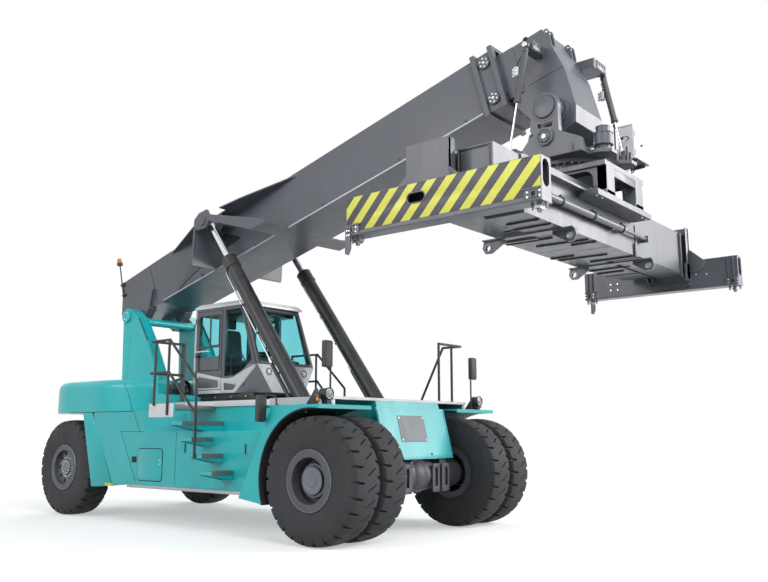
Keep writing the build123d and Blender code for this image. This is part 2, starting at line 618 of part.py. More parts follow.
# lift brackets: outer ear and strap, rear web, inner cheek
ear_outer = lift_y + 170
ear_plate = 35
ear_inner_y = -ear_outer + ear_plate
cheek_face = lift_y - 135   # inner cheek's outer face
channel = (-ear_outer, ear_inner_y)
ear = boom_plate([(lift_top_u - 190, lift_top_w - 100), (lift_top_u - 190, lift_top_w + 100),
                  (lift_top_u - 60, lift_top_w + 165), (lift_top_u + 150, lift_top_w + 150),
                  (lift_top_u + 190, lift_top_w + 40), (4150, boom_bottom + 60), (4150, boom_bottom),
                  (3850, boom_bottom), (lift_top_u + 150, lift_top_w - 60), (lift_top_u + 40, lift_top_w - 150)],
                 *channel)
web = boom_plate([(lift_top_u - 190, lift_top_w + 110), (lift_top_u - 150, lift_top_w + 110),
                  (2330, boom_bottom), (2290, boom_bottom)], -ear_outer, -boom_half + 1)
foot = boom_slab((3850, 4150), (-ear_outer, -boom_half + 1), (boom_bottom, boom_bottom + 30))
cheek = boom_plate([(lift_top_u - 170, lift_top_w + 100), (lift_top_u - 60, lift_top_w + 150),
                    (lift_top_u + 150, lift_top_w + 130), (lift_top_u + 190, lift_top_w + 40),
                    (lift_top_u + 150, lift_top_w - 70), (lift_top_u + 50, lift_top_w - 130),
                    (lift_top_u - 110, lift_top_w - 130), (lift_top_u - 170, lift_top_w - 50)],
                   -cheek_face, -cheek_face + 30)
cheek_ties = boom_slab((lift_top_u - 150, lift_top_u - 110), (-cheek_face + 1, -boom_half + 1),
                       (lift_top_w - 60, lift_top_w + 80))
cheek_ties += boom_slab((lift_top_u + 100, lift_top_u + 140), (-cheek_face + 1, -boom_half + 1),
                        (lift_top_w - 60, lift_top_w + 110))
# top gusset, open where the rod's eye swings through
gusset_top = 880
gusset_edge = boom_half - 1
gusset = boom_flat([(1105, -gusset_edge), (2170, -780), (2700, -915), (2950, -870), (3450, -764), (4510, -gusset_edge)],
                   gusset_top - 20, gusset_top)
gusset -= boom_flat([(2560, -1100), (3000, -1100), (3000, -700), (2560, -700)], gusset_top - 21, gusset_top + 1)
outer += both(ear + web + foot + cheek + cheek_ties + gusset)
outer += both(cross_bar(*boom_point(lift_top_u, lift_top_w), -ear_outer - 25, -ear_outer + 1, 85))
save("boom_outer", outer)

inner = boom_slab((inner_tail, 8640), (-inner_half, inner_half), (inner_bottom, inner_top))
inner -= boom_slab((inner_tail - 1, 8560), (-inner_half + inner_wall, inner_half - inner_wall),
                   (inner_bottom + inner_wall, inner_top - inner_wall))
tail_pad_u = (inner_tail, inner_tail + 250)
inner += boom_slab(tail_pad_u, (-300, 300), (boom_bottom + boom_wall + running_gap, inner_bottom + 1))
inner += boom_slab(tail_pad_u, (-300, 300), (inner_top - 1, boom_top - boom_wall - running_gap))
inner += both(boom_slab(tail_pad_u, (-boom_half + boom_wall + running_gap, -inner_half + 1),
                        (inner_bottom + 100, inner_top - 100)))
save("boom_inner", inner)

# boom head with the hanger's cross tube and the damper arms
hanger = (spreader_x, hanger_z)
head_half = 375
head = boom_plate([(8640, inner_bottom), (8640, inner_top), (9110, inner_top), (9242, 143), (9244, -427),
                   (9175, -645), (8937, -686), (8620, -330), (8470, -60), (8470, inner_bottom - 40)],
                  -head_half, head_half)
head -= boom_plate([(8700, inner_bottom - 60), (8700, inner_top - 60), (9060, inner_top - 60), (9180, 120),
                    (9180, -400), (9120, -590), (8960, -630), (8700, -300)], -head_half + 30, head_half - 30)
head += cross_bar(*hanger, -hanger_plate_inner + 6, hanger_plate_inner - 6, 170)
pin_end = hanger_plate_inner + hanger_plate - 2
head += cross_bar(*hanger, -pin_end, pin_end, 80)
damper_top_dx, damper_top_dz = 190, 860     # of each damper's upper pin from the hanger pin
damper_foot_dx, damper_foot_dz = 470, -520
damper_pin = 25


def damper_points(side):
    """Upper and lower pin (x, z) of a damper; the right one (-1) hangs behind, the left one ahead."""
    top = (hanger[0] + side * damper_top_dx, hanger_z + damper_top_dz)
    low = (hanger[0] + side * damper_foot_dx, hanger_z + damper_foot_dz)
    return top, low


for side in (-1, 1):
    (x, z), _ = damper_points(side)
    y_in, y_out = sorted((side * (head_half - 60), side * (damper_y - 45)))
    head += slab((min(x - 70, hanger[0] - 60), x + 70), (y_in, y_out), (z - 55, z + 75))
    head += cross_bar(x, z, *sorted((side * (damper_y - 46), side * (damper_y + 40))), damper_pin)
save("boom_head", head)

# ---------------------------------------------------------------- cylinders
def cylinder_pair(low, high, y, tube_length, rod_length, tube_r, rod_r, eye_half, low_pin, bore_r, gland):
    """A hydraulic cylinder's tube and rod between two pins (x, z) in the plane y."""
    dx, dz = high[0] - low[0], high[1] - low[1]
    length = hypot(dx, dz)
    e = (dx / length, dz / length)

    def at(distance):
        return (low[0] + e[0] * distance, y, low[1] + e[1] * distance)

    eye_r = low_pin * 2
    tube = bar(at(eye_r * 0.8), at(tube_length), tube_r)
    tube += bar(at(tube_length - gland), at(tube_length), tube_r + tube_r / 12)
    tube += cross_bar(low[0], low[1], y - eye_half, y + eye_half, eye_r)
    tube -= cross_bar(low[0], low[1], y - tube_r * 2, y + tube_r * 2, low_pin + running_gap)
    tube -= bar(at(eye_r * 2), at(tube_length - gland), bore_r)
    tube -= bar(at(eye_r * 2), at(tube_length + 1), rod_r + running_gap)
    rod = bar(at(length - rod_length), at(length - low_pin), rod_r)
    rod += bar(at(length - rod_length), at(length - rod_length + gland / 2), bore_r - running_gap)
    rod += cross_bar(high[0], high[1], y - eye_half, y + eye_half, low_pin * 1.7)
    return tube, rod


lift_top = boom_point(lift_top_u, lift_top_w)
lift_tube, lift_rod = cylinder_pair(lift_foot, lift_top, -lift_y, lift_tube_length, lift_rod_length,
                                    lift_tube_radius, lift_rod_radius, lift_eye_width / 2, lift_pin_radius, 95, 200)
save_sides("lift_tube", lift_tube)
save_sides("lift_rod", lift_rod)

damper_tube_length, damper_rod_length = 760, 950
for side, name in ((-1, "right"), (1, "left")):
    top, low = damper_points(side)
    tube, rod = cylinder_pair(top, low, side * damper_y, damper_tube_length, damper_rod_length,
                              42, 16, 28, damper_pin, 32, 60)
    save(f"damper_tube_{name}", tube)
    save(f"damper_rod_{name}", rod)

# ---------------------------------------------------------------- hanger, slewing ring and gantry
yoke_floor = ring_z + 150
yoke_plate_y = (-hanger_plate_inner - hanger_plate, -hanger_plate_inner)
hx = spreader_x
yoke_side = side_plate([(hx - 185, hanger_z), (hx - 215, 5200), (hx - 250, 5080), (hx - 420, yoke_floor + 70),
                        (hx + 500, yoke_floor + 70), (hx + 480, 4990), (hx + 190, 5140), (hx + 185, hanger_z)],
                       *yoke_plate_y)
yoke_side += cross_bar(hx, hanger_z, *yoke_plate_y, 190)
yoke_side += cross_bar(hx, hanger_z, yoke_plate_y[0] - 18, yoke_plate_y[0] + 1, 150)
yoke_side += cross_bar(hx, 5090, yoke_plate_y[0] - 26, yoke_plate_y[0] + 1, 118)
yoke_side -= side_plate([(hx - 95, 5215), (hx + 95, 5215), (hx + 110, 5275), (hx - 110, 5275)],
                        yoke_plate_y[0] - 1, yoke_plate_y[1] + 1)
yoke_side -= cross_bar(hx, hanger_z, -pin_end - 1, yoke_plate_y[1] + 1, 80 + running_gap)
yoke = both(yoke_side)
yoke += slab((hx - 420, hx + 500), (-hanger_plate_inner - hanger_plate, hanger_plate_inner + hanger_plate),
             (yoke_floor, yoke_floor + 71))
yoke += bar((hx, 0, ring_z + 75), (hx, 0, yoke_floor + 1), slew_radius)
for side in (-1, 1):
    _, (x, z) = damper_points(side)
    y_in, y_out = sorted((side * (hanger_plate_inner + hanger_plate - 1), side * (damper_y - 45)))
    yoke += slab((x - 60, x + 60), (y_in, y_out), (z - 70, z + 45))
    low, high = sorted((side * 380, side * (hanger_plate_inner + hanger_plate)))
    yoke += slab((x - 60, x + 60), (low, high), (yoke_floor, z + 45))
motor_x, motor_y = hx + 620, 300
for x, y in ((motor_x, -motor_y), (motor_x, motor_y)):
    yoke += flat_plate([(hx + 380, y - 160), (x, y - 160), (x + 140, y - 80), (x + 140, y + 80), (x, y + 160),
                        (hx + 380, y + 160)], yoke_floor, yoke_floor + 45)
save("hanger_yoke", yoke)
flange_top = yoke_floor + 45
# the right flange carries the slewing motor, the left one a hose manifold
motor_steps = [(-motor_y, 0, 75, 85), (-motor_y, 74, 235, 115), (-motor_y, 234, 315, 85), (motor_y, 0, 90, 60)]
motors = Part()
for y, low, high, radius in motor_steps:
    motors += bar((motor_x, y, flange_top + low), (motor_x, y, flange_top + high), radius)
save("slew_motor", motors)

gantry_half_x, gantry_half_y = 750, 575
flange_low = 4250           # underside of the main boxes' side flanges
gantry_plate = 60
foot_rail = 70
gantry = slab((hx - gantry_half_x, hx + gantry_half_x), (-gantry_half_y, gantry_half_y),
              (ring_z - gantry_plate, ring_z))
gantry += bar((hx, 0, ring_z - 1), (hx, 0, ring_z + 75 - running_gap), slew_radius)
for side in (-1, 1):
    foot_x = sorted((hx + side * (box_half + 10), hx + side * gantry_half_x))
    gantry += slab(foot_x, (-800, 800), (flange_low - running_gap - foot_rail, flange_low - running_gap))
    leg_x = sorted((hx + side * (gantry_half_x - 120), hx + side * gantry_half_x))
    for leg_y in (-430, 430):
        gantry += slab(leg_x, (leg_y - 110, leg_y + 110), (flange_low - 1, ring_z - 1))
gantry += both(slab((hx - 60, hx + 60), (-gantry_half_y, -gantry_half_y + 20), (ring_z - 160, ring_z - 1)))
save("gantry", gantry)

control_box = slab((hx + 350, hx + 560), (795, 1075), (5060, 5540))
control_box += slab((hx + 390, hx + 490), (hanger_plate_inner + hanger_plate, 900), (yoke_floor, yoke_floor + 40))
control_box += slab((hx + 420, hx + 460), (820, 900), (yoke_floor + 39, 5061))
save("control_box", control_box)

# ---------------------------------------------------------------- spreader
cx0, cx1 = hx, hx + box_half
front_box = slab((cx0, cx1), (-box_long, box_short), (box_bottom, box_top))
front_box += slab((cx1 - 1, cx1 + 100), (-box_long, box_short), (flange_low, flange_low + 30))
box_pair = front_box + turned(front_box)
bore = slab((cx0 + box_wall, cx1 - box_wall), (-box_long - 1, box_short + 1), (box_bottom + box_wall, box_top - box_wall))
box_pair -= bore + turned(bore)

# telescoping cylinder tubes, lifting lugs
ram_x = hx + box_half + 70
ram_z = 3995
ram_radius, ram_rod = 45, 24
ram_low, ram_high = -2775, 340
ram_tube = bar((ram_x, ram_low, ram_z), (ram_x, ram_high, ram_z), ram_radius)
ram_tube -= bar((ram_x, ram_low + 15, ram_z), (ram_x, ram_high + 1, ram_z), ram_rod + running_gap)
for y in (-1900, 60):
    bracket = slab((cx1 - 1, ram_x), (y - 30, y + 30), (ram_z - 60, ram_z + 60))
    ram_tube += bracket - bar((ram_x, ram_low, ram_z), (ram_x, ram_high, ram_z), ram_radius - 2)
box_pair += ram_tube + turned(ram_tube)
lug_y_mid = 1145
lug_plate = 40
lug_hole = 35
lug_hole_z = 3640
lug_x = 550
strap_depth = 18
for sx in (-1, 1):
    for sy in (-1, 1):
        x, y = hx + sx * lug_x, sy * lug_y_mid
        root = hx + sx * (box_half - 150)
        eye = side_plate([(root, box_bottom + 1 - strap_depth), (x + sx * 60, box_bottom + 1 - strap_depth),
                          (x + sx * 80, lug_hole_z), (x + sx * 40, lug_hole_z - 65), (x - sx * 40, lug_hole_z - 65),
                          (root, box_bottom - strap_depth - 40)], y - lug_plate / 2, y + lug_plate / 2)
        strap_x = sorted((hx - sx * 100, x + sx * 60))
        box_pair += slab(strap_x, (y - 60, y + 60), (box_bottom - strap_depth, box_bottom))
        box_pair += eye - cross_bar(x, lug_hole_z, y - lug_plate, y + lug_plate, lug_hole)
save("spreader_frame", box_pair)

# arms: a telescoping beam, its end plate and the end beam with four-cornered lock housings
lock_y = lock_spacing_y / 2
beam_mid_y = lock_y + 8
beam_in, beam_out = beam_mid_y - end_beam_width / 2, beam_mid_y + end_beam_width / 2
arm_x = (cx0 + box_wall + running_gap, cx1 - box_wall - running_gap)
arm_z = (box_bottom + box_wall + running_gap, box_top - box_wall - running_gap)
arm = slab(arm_x, (-arm_tail, beam_in), arm_z)
arm -= slab((arm_x[0] + 20, arm_x[1] - 20), (-arm_tail - 1, beam_in - 20), (arm_z[0] + 20, arm_z[1] - 20))
flange_x = (arm_x[0] - 60, arm_x[1] + 60)
arm += slab(flange_x, (beam_in - 40, beam_in + 1), (end_beam_bottom + 60, box_top + 80))
end_beam = slab((hx - end_beam_half, hx + end_beam_half), (beam_in, beam_out), (end_beam_bottom, end_beam_top))
end_beam -= slab((hx - end_beam_half - 1, hx + end_beam_half + 1), (beam_in + 15, beam_out - 15),
                 (end_beam_bottom + 120, end_beam_top - 20))
lock_housing_top = end_beam_bottom + 120
oval_radius = 62
oval_low, oval_high = lock_housing_top + 25 + oval_radius, end_beam_top - 25 - oval_radius
for side in (-1, 1):
    end_plate = slab(sorted((hx + side * (end_beam_half - 25), hx + side * end_beam_half)), (beam_in, beam_out),
                     (lock_housing_top - 1, end_beam_top))
    through = sorted((hx + side * (end_beam_half - 30), hx + side * (end_beam_half + 5)))
    for z in (oval_low, oval_high):
        end_plate -= bar((through[0], beam_mid_y, z), (through[1], beam_mid_y, z), oval_radius)
    end_plate -= slab(through, (beam_mid_y - oval_radius, beam_mid_y + oval_radius), (oval_low, oval_high))
    end_beam += end_plate
slot_x, slot_z, slot_radius = hx - 247, 3820, 50
end_beam -= slab((slot_x - 60, slot_x + 60), (beam_out - 16, beam_out + 1), (slot_z - slot_radius, slot_z + slot_radius))
for dx in (-60, 60):
    end_beam -= cross_bar(slot_x + dx, slot_z, beam_out - 16, beam_out + 1, slot_radius)
neck_radius = 29            # in the housing's bore
stud_radius = 26            # between the beam and the lock's head
head_top = end_beam_bottom - 30
head_bottom = lock_tip_z + 30
for side in (-1, 1):
    x = hx + side * lock_spacing_x / 2
    end_beam -= bar((x, lock_y, end_beam_bottom - 1), (x, lock_y, lock_housing_top - 20), neck_radius + running_gap)
guide_x = hx - end_beam_half
guide = side_plate([(guide_x, end_beam_bottom + 110), (guide_x, 3345), (guide_x + 40, 3330), (guide_x + 75, 3400),
                    (guide_x + 75, end_beam_bottom + 110)], beam_out - 1, beam_out + 22)
for x in (flange_x[0], flange_x[1] - 30):
    arm += slab((x, x + 30), (beam_in - 160, beam_in - 39), (end_beam_bottom + 120, end_beam_top - 60))
ram_clevis_y = 1060
ram_rod_start = ram_low + 20
rod_solid = bar((ram_x, ram_rod_start, ram_z), (ram_x, ram_clevis_y + 30, ram_z), ram_rod)
rod_solid += slab((arm_x[1] - 1, ram_x + 40), (ram_clevis_y, ram_clevis_y + 50), (ram_z - 40, ram_z + 40))
# the beams and rods are set side by side; both gather guides are on the rear corners
end_beam += guide
save("spreader_arm_left", arm + rod_solid + end_beam)
save("spreader_arm_right", turned(arm + rod_solid) + mirror(end_beam, about=Plane.XZ))

for sx, along in ((1, "front"), (-1, "rear")):
    for sy, across in ((-1, "right"), (1, "left")):
        x, y = hx + sx * lock_spacing_x / 2, sy * lock_y
        lock = bar((x, y, end_beam_bottom), (x, y, lock_housing_top - 20 - running_gap), neck_radius)
        lock += bar((x, y, head_top - 1), (x, y, end_beam_bottom + 1), stud_radius)
        head_block = slab((x - 28, x + 28), (y - 52, y + 52), (head_bottom, head_top))
        taper = Pos(x, y, (lock_tip_z + head_bottom) / 2) * Cone(20, 28, head_bottom - lock_tip_z)
        lock += head_block + taper
        save(f"twistlock_{along}_{across}", lock)
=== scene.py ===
# A reach stacker's looks, built round its CAD frame in metres: x points ahead, y to the machine's
# left and z up. "Ahead" is measured from the front axle, and sign is 1 on the left, -1 on the right.
import json
from math import cos, pi, radians, sin

import bmesh
import bpy
from mathutils import Matrix, Vector


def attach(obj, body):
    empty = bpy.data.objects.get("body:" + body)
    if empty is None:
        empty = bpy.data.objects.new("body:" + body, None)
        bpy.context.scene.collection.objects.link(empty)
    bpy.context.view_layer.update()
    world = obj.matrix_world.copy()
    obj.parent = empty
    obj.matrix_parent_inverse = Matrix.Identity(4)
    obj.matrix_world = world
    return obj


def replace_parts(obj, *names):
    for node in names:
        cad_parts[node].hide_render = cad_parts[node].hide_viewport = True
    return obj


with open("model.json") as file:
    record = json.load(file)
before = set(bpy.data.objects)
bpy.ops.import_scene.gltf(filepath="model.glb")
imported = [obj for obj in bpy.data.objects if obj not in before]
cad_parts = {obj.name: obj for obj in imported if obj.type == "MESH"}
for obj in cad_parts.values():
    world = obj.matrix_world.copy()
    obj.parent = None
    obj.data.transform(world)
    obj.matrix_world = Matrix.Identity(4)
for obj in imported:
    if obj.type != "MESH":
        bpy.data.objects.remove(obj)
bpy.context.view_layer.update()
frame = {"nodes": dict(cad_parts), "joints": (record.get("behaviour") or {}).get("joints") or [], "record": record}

# ---------------------------------------------------------------- places
JOINTS = {joint["name"]: joint for joint in frame["joints"]}
AXLE = JOINTS["front_wheel_spin_right"]["pos_m"][0]
PIVOT = Vector(JOINTS["boom_luff"]["pos_m"])
BOOM_ANGLE = radians(15)
BOOM_SIDE = Vector((cos(BOOM_ANGLE), 0, sin(BOOM_ANGLE)))
BOOM_UP = Vector((-sin(BOOM_ANGLE), 0, cos(BOOM_ANGLE)))
AHEAD = Vector((1, 0, 0))
ACROSS = Vector((0, 1, 0))
UP = Vector((0, 0, 1))
SIDES = {"right": -1, "left": 1}
FACE = {"right": (0, -1, 0), "left": (0, 1, 0)}
WHEELBASE = 6.30
TYRE_RADIUS = 0.815
TWIN_TYRES = (1.265, 1.81)      # the front twins' middles from the centre line
REAR_TYRE = 1.465
SPREADER = 2.70                 # the spreader's centre ahead of the front axle
HANGER_Z = 5.49                 # the hanger's pin
BODY_Y = 1.70                   # tanks, rear fenders and counterweight
CAB_Y = 0.640
DOOR_Y = 0.642
BOOM_Y = 0.45
DECK_Z = 1.771
CAB_FLOOR = 2.052
PLATFORM_Z = 5.03               # the hanger's platform under the control box


def at(ahead, y, z):
    """A point from its distance ahead of the front axle."""
    return Vector((AXLE + ahead, y, z))


def on_boom(u, y, w):
    """A point along and above the parked boom."""
    return Vector((PIVOT.x, y, PIVOT.z)) + BOOM_SIDE * u + BOOM_UP * w


# ---------------------------------------------------------------- materials
class Nodes:
    """Short calls for building one material's node tree."""

    def __init__(self, name):
        self.material = bpy.data.materials.new(name)
        self.material.use_nodes = True
        self.tree = self.material.node_tree
        self.surface = self.tree.nodes["Principled BSDF"]
        self.place = self.add("TexCoord").outputs["Object"]

    def add(self, kind, **values):
        node = self.tree.nodes.new("ShaderNode" + kind)
        for key, value in values.items():
            setattr(node, key, value)
        return node

    def join(self, output, target):
        if isinstance(output, bpy.types.NodeSocket):
            self.tree.links.new(output, target)
        else:
            target.default_value = output

    def noise(self, scale, detail=4.0, rough=0.55, stretch=None):
        place = self.place
        if stretch:
            mapping = self.add("Mapping")
            self.join(place, mapping.inputs["Vector"])
            mapping.inputs["Scale"].default_value = stretch
            place = mapping.outputs["Vector"]
        node = self.add("TexNoise")
        self.join(place, node.inputs["Vector"])
        node.inputs["Scale"].default_value = scale
        node.inputs["Detail"].default_value = detail
        node.inputs["Roughness"].default_value = rough
        return node.outputs["Fac"]

    def math(self, operation, first, second=0.5):
        node = self.add("Math", operation=operation)
        self.join(first, node.inputs[0])
        self.join(second, node.inputs[1])
        return node.outputs[0]

    def span(self, value, low, high, out_low=0.0, out_high=1.0):
        node = self.add("MapRange")
        for socket, number in zip(node.inputs, (value, low, high, out_low, out_high)):
            self.join(number, socket)
        return node.outputs[0]

    def mix(self, factor, first, second):
        node = self.add("Mix", data_type="RGBA")
        for index, value in ((0, factor), (6, first), (7, second)):
            self.join(value, node.inputs[index])
        return node.outputs[2]

    def set(self, **values):
        for key, value in values.items():
            self.join(value, self.surface.inputs[key.replace("_", " ")])


def linear(red, green, blue):
    """An 8-bit screen colour as the renderer's linear one."""
    return tuple(((c / 255 + 0.055) / 1.055) ** 2.4 if c > 10 else c / 255 / 12.92
                 for c in (red, green, blue)) + (1.0,)


def shade(colour, factor):
    """A linear colour made lighter or darker."""
    return tuple(min(1.0, c * factor) for c in colour[:3]) + (1.0,)


def finish(name, colour, rough, metal=0.0, mottle=0.07, dust=0.10, dust_colour=(150, 150, 145), edge=0.25,
           edge_wear_and_highlight_colour=None, grain=90.0, bump=0.06, rounding=0.008, coat=0.0, specular=0.5, base=None):
    """A surface whose tone, dust, roughness and relief vary, with lighter rounded edges that are partly wear and
    partly a painted highlight.
    """
    colour = linear(*colour)
    n = Nodes(name)
    broad = n.noise(1.1, 6.0, 0.62)
    fine = n.noise(grain, 4.0, 0.6)
    streaks = n.noise(3.0, 5.0, 0.6, (2.2, 2.2, 0.35))
    if base is None:
        tone = n.mix(n.span(broad, 0.3, 0.7), shade(colour, 1 - mottle), shade(colour, 1 + mottle))
    else:
        tone = base(n)
    dusty = n.math("MULTIPLY", n.span(streaks, 0.42, 0.75), n.span(fine, 0.3, 0.7, 0.4, 1.0))
    tone = n.mix(n.math("MULTIPLY", dusty, dust), tone, linear(*dust_colour))
    bevel = n.add("Bevel", samples=4)
    bevel.inputs["Radius"].default_value = rounding
    geometry = n.add("NewGeometry")
    dot = n.add("VectorMath", operation="DOT_PRODUCT")
    n.join(bevel.outputs["Normal"], dot.inputs[0])
    n.join(geometry.outputs["Normal"], dot.inputs[1])
    # Rounded edges are lightened towards the edge colour, or towards the paint's own colour made brighter: partly
    # wear, partly a painted highlight.
    edge_wear_and_highlight = n.math("MULTIPLY", n.span(dot.outputs["Value"], 0.985, 0.80), n.span(broad, 0.3, 0.65, 0.35, 1.0))
    if edge:
        tone = n.mix(n.math("MULTIPLY", edge_wear_and_highlight, edge), tone,
                     linear(*edge_wear_and_highlight_colour) if edge_wear_and_highlight_colour else shade(colour, 2.4))
    relief = n.add("Bump")
    relief.inputs["Strength"].default_value = bump
    relief.inputs["Distance"].default_value = 0.002
    n.join(fine, relief.inputs["Height"])
    n.join(bevel.outputs["Normal"], relief.inputs["Normal"])
    n.set(Base_Color=tone, Metallic=metal, Coat_Weight=coat, Coat_Roughness=0.12, Specular_IOR_Level=specular,
          Roughness=n.span(streaks, 0.3, 0.7, rough * 0.82, min(1.0, rough * 1.2)),
          Normal=relief.outputs["Normal"])
    return n.material


STRIPE_PERIOD = 0.248
STRIPE_LEAN = 0.92
STRIPE_PHASE = 0.182


def hazard(n):
    """Slanting yellow and dark bars."""
    parts = n.add("SeparateXYZ")
    n.join(n.place, parts.inputs[0])
    slant = n.math("SUBTRACT", parts.outputs["X"], n.math("MULTIPLY", parts.outputs["Z"], STRIPE_LEAN))
    phase = n.math("FRACT", n.math("DIVIDE", n.math("SUBTRACT", slant, AXLE + STRIPE_PHASE), STRIPE_PERIOD),
                   0)
    wear = n.span(n.noise(7.0, 8.0, 0.7), 0.3, 0.7, -0.006, 0.006)
    yellow = n.mix(n.noise(5.0), linear(226, 226, 78), linear(240, 240, 100))
    return n.mix(n.math("LESS_THAN", n.math("ADD", phase, wear), 0.5), linear(62, 62, 72), yellow)


TURQUOISE = (24, 186, 190)
GREY = (84, 87, 96)
M = {
    "turquoise": finish("turquoise_paint", TURQUOISE, 0.38, coat=0.2, edge=0.3, dust=0.04,
                        edge_wear_and_highlight_colour=(190, 235, 232), rounding=0.010),
    "grey": finish("boom_grey_paint", GREY, 0.42, coat=0.15, edge=0.45, edge_wear_and_highlight_colour=(175, 180, 190),
                   rounding=0.008),
    "dark": finish("axle_grey_paint", (74, 76, 82), 0.48, edge=0.35, dust=0.2),
    "black": finish("black_paint", (28, 29, 32), 0.40, edge=0.3, edge_wear_and_highlight_colour=(120, 122, 126)),
    "silver": finish("cab_silver_paint", (196, 199, 204), 0.36, metal=0.25, edge=0.3,
                     edge_wear_and_highlight_colour=(235, 236, 240), coat=0.3),
    "deck": finish("deck_metal", (176, 180, 184), 0.46, metal=0.5, mottle=0.12, edge=0.4,
                   edge_wear_and_highlight_colour=(225, 226, 228)),
    "steel": finish("worn_steel", (120, 122, 126), 0.42, metal=0.8, mottle=0.15, edge=0.5,
                    edge_wear_and_highlight_colour=(215, 215, 218), rounding=0.004),
    "bright": finish("bright_steel", (200, 202, 206), 0.25, metal=0.9, mottle=0.1, rounding=0.003),
    "chrome": finish("rod_chrome", (222, 224, 228), 0.10, metal=1.0, mottle=0.04, dust=0.04, edge=0.0,
                     bump=0.01, rounding=0.002),
    "rubber": finish("tyre_rubber", (58, 59, 62), 0.78, mottle=0.12, dust=0.2, dust_colour=(104, 103, 100),
                     grain=160.0, bump=0.25, edge=0.25, edge_wear_and_highlight_colour=(110, 110, 112), rounding=0.006,
                     specular=0.35),
    "plastic": finish("trim_plastic", (40, 41, 44), 0.52, grain=400.0, bump=0.2, rounding=0.004, edge=0.2),
    "fabric": finish("seat_fabric", (52, 53, 58), 0.9, grain=900.0, bump=0.6, rounding=0.01, edge=0.1),
    "white": finish("box_white_paint", (226, 228, 230), 0.4, mottle=0.03, dust=0.2, edge=0.4,
                    edge_wear_and_highlight_colour=(250, 250, 250), rounding=0.006),
    "plate": finish("blank_plate", (146, 149, 155), 0.6, edge=0.3, rounding=0.003),
    "stripes": finish("hazard_stripes", (235, 235, 90), 0.42, base=hazard, edge=0.0, rounding=0.003),
    "yellow": finish("marker_yellow", (232, 214, 60), 0.5, edge=0.1, rounding=0.003),
    "rim": finish("rim_grey_paint", (112, 117, 125), 0.36, metal=0.2, edge=0.4, dust=0.15,
                  edge_wear_and_highlight_colour=(190, 194, 200), rounding=0.004),
    "frame": finish("door_panel_grey", (88, 90, 96), 0.42, edge=0.2, rounding=0.004),
    # The cab's silver nose given a darker grey: painted shade for its outward- and downward-facing facets.
    "nose": finish("cab_nose_grey", (128, 134, 140), 0.38, metal=0.1, coat=0.15, edge=0.3,
                   edge_wear_and_highlight_colour=(215, 218, 222)),
    "roof": finish("cab_roof_white", (222, 225, 228), 0.34, coat=0.3, edge=0.2, edge_wear_and_highlight_colour=(250, 250, 250)),
    "tread": finish("tread_grey", (116, 128, 132), 0.5, metal=0.3, mottle=0.12, edge=0.4, rounding=0.003),
    # A pale grey for the outer edge of the boom's bottom flange: a painted highlight where the flange edge catches
    # the light.
    "edge": finish("flange_edge_paint", (176, 180, 188), 0.4, metal=0.2, mottle=0.15, edge=0.4,
                   rounding=0.003),
    # Black for seams and thin gaps, and for holes, slots and recesses where it stands for the shade inside them:
    # partly dark joints, partly painted shade.
    "void": finish("recess_black", (14, 14, 16), 0.8, edge=0.0, dust=0.05, rounding=0.003),
}


def glass(name, colour):
    """A window pane, slightly smeared."""
    n = Nodes(name)
    smear = n.noise(6.0, 6.0, 0.65)
    n.set(Base_Color=n.mix(n.span(smear, 0.35, 0.7), colour, shade(colour, 0.93)), Transmission_Weight=1.0,
          IOR=1.1, Roughness=n.span(smear, 0.3, 0.7, 0.03, 0.08))
    return n.material


def lit(name, colour, transmission):
    """A lamp's coloured lens."""
    n = Nodes(name)
    ribs = n.add("TexWave")
    ribs.inputs["Scale"].default_value = 60.0
    n.join(n.place, ribs.inputs["Vector"])
    relief = n.add("Bump")
    relief.inputs["Strength"].default_value = 0.2
    n.join(ribs.outputs["Fac"], relief.inputs["Height"])
    n.set(Base_Color=n.mix(n.noise(30.0), colour, shade(colour, 0.85)), Roughness=0.15,
          Transmission_Weight=transmission, Normal=relief.outputs["Normal"])
    return n.material


M["glass"] = glass("window_glass", linear(176, 232, 236))
M["lens"] = lit("clear_lens", linear(235, 238, 242), transmission=0.6)
M["amber"] = lit("amber_lens", linear(245, 150, 30), transmission=0.2)
M["red"] = lit("red_lens", linear(225, 60, 40), transmission=0.2)
M["mirror"] = finish("mirror_face", (205, 212, 220), 0.04, metal=1.0, mottle=0.02, dust=0.05, edge=0.0,
                     bump=0.0, rounding=0.002)

BY_SLOT = {"chassis_paint": "turquoise", "boom_paint": "grey", "dark_paint": "dark", "cab_paint": "silver",
           "deck_metal": "deck", "tyre_rubber": "rubber", "rod_chrome": "chrome", "lock_steel": "steel",
           "window_glass": "glass", "trim_plastic": "plastic", "seat_fabric": "fabric", "box_paint": "white"}
SPECIAL = {"lift_tube_right": "black", "lift_tube_left": "black", "damper_tube_right": "dark",
           "damper_tube_left": "dark", "handrails": "black", "slew_motor": "grey", "cab_frame": "frame",
           "cab_door_right": "frame", "cab_door_left": "frame", "cab_base": "nose", "cab_roof": "roof",
           "front_rims_right": "dark", "front_rims_left": "dark"}


for part in frame["record"]["subparts"]:
    node = frame["nodes"][part["node"]]
    node.data.materials.clear()
    node.data.materials.append(M[SPECIAL.get(part["node"], BY_SLOT[part["material_slot"]])])

# ---------------------------------------------------------------- shapes
CORNER_STEPS = 4


def rounded(points, radius):
    """A polygon's (a, b) points with its corners rounded."""
    out = []
    count = len(points)
    for index in range(count):
        before, here, after = (Vector(points[(index + k) % count]) for k in (-1, 0, 1))
        arm = min(radius, (before - here).length * 0.49, (after - here).length * 0.49)
        start = here + (before - here).normalized() * arm
        end = here + (after - here).normalized() * arm
        for step in range(CORNER_STEPS + 1):
            t = step / CORNER_STEPS
            out.append(start * (1 - t) ** 2 + here * 2 * t * (1 - t) + end * t ** 2)
    return out


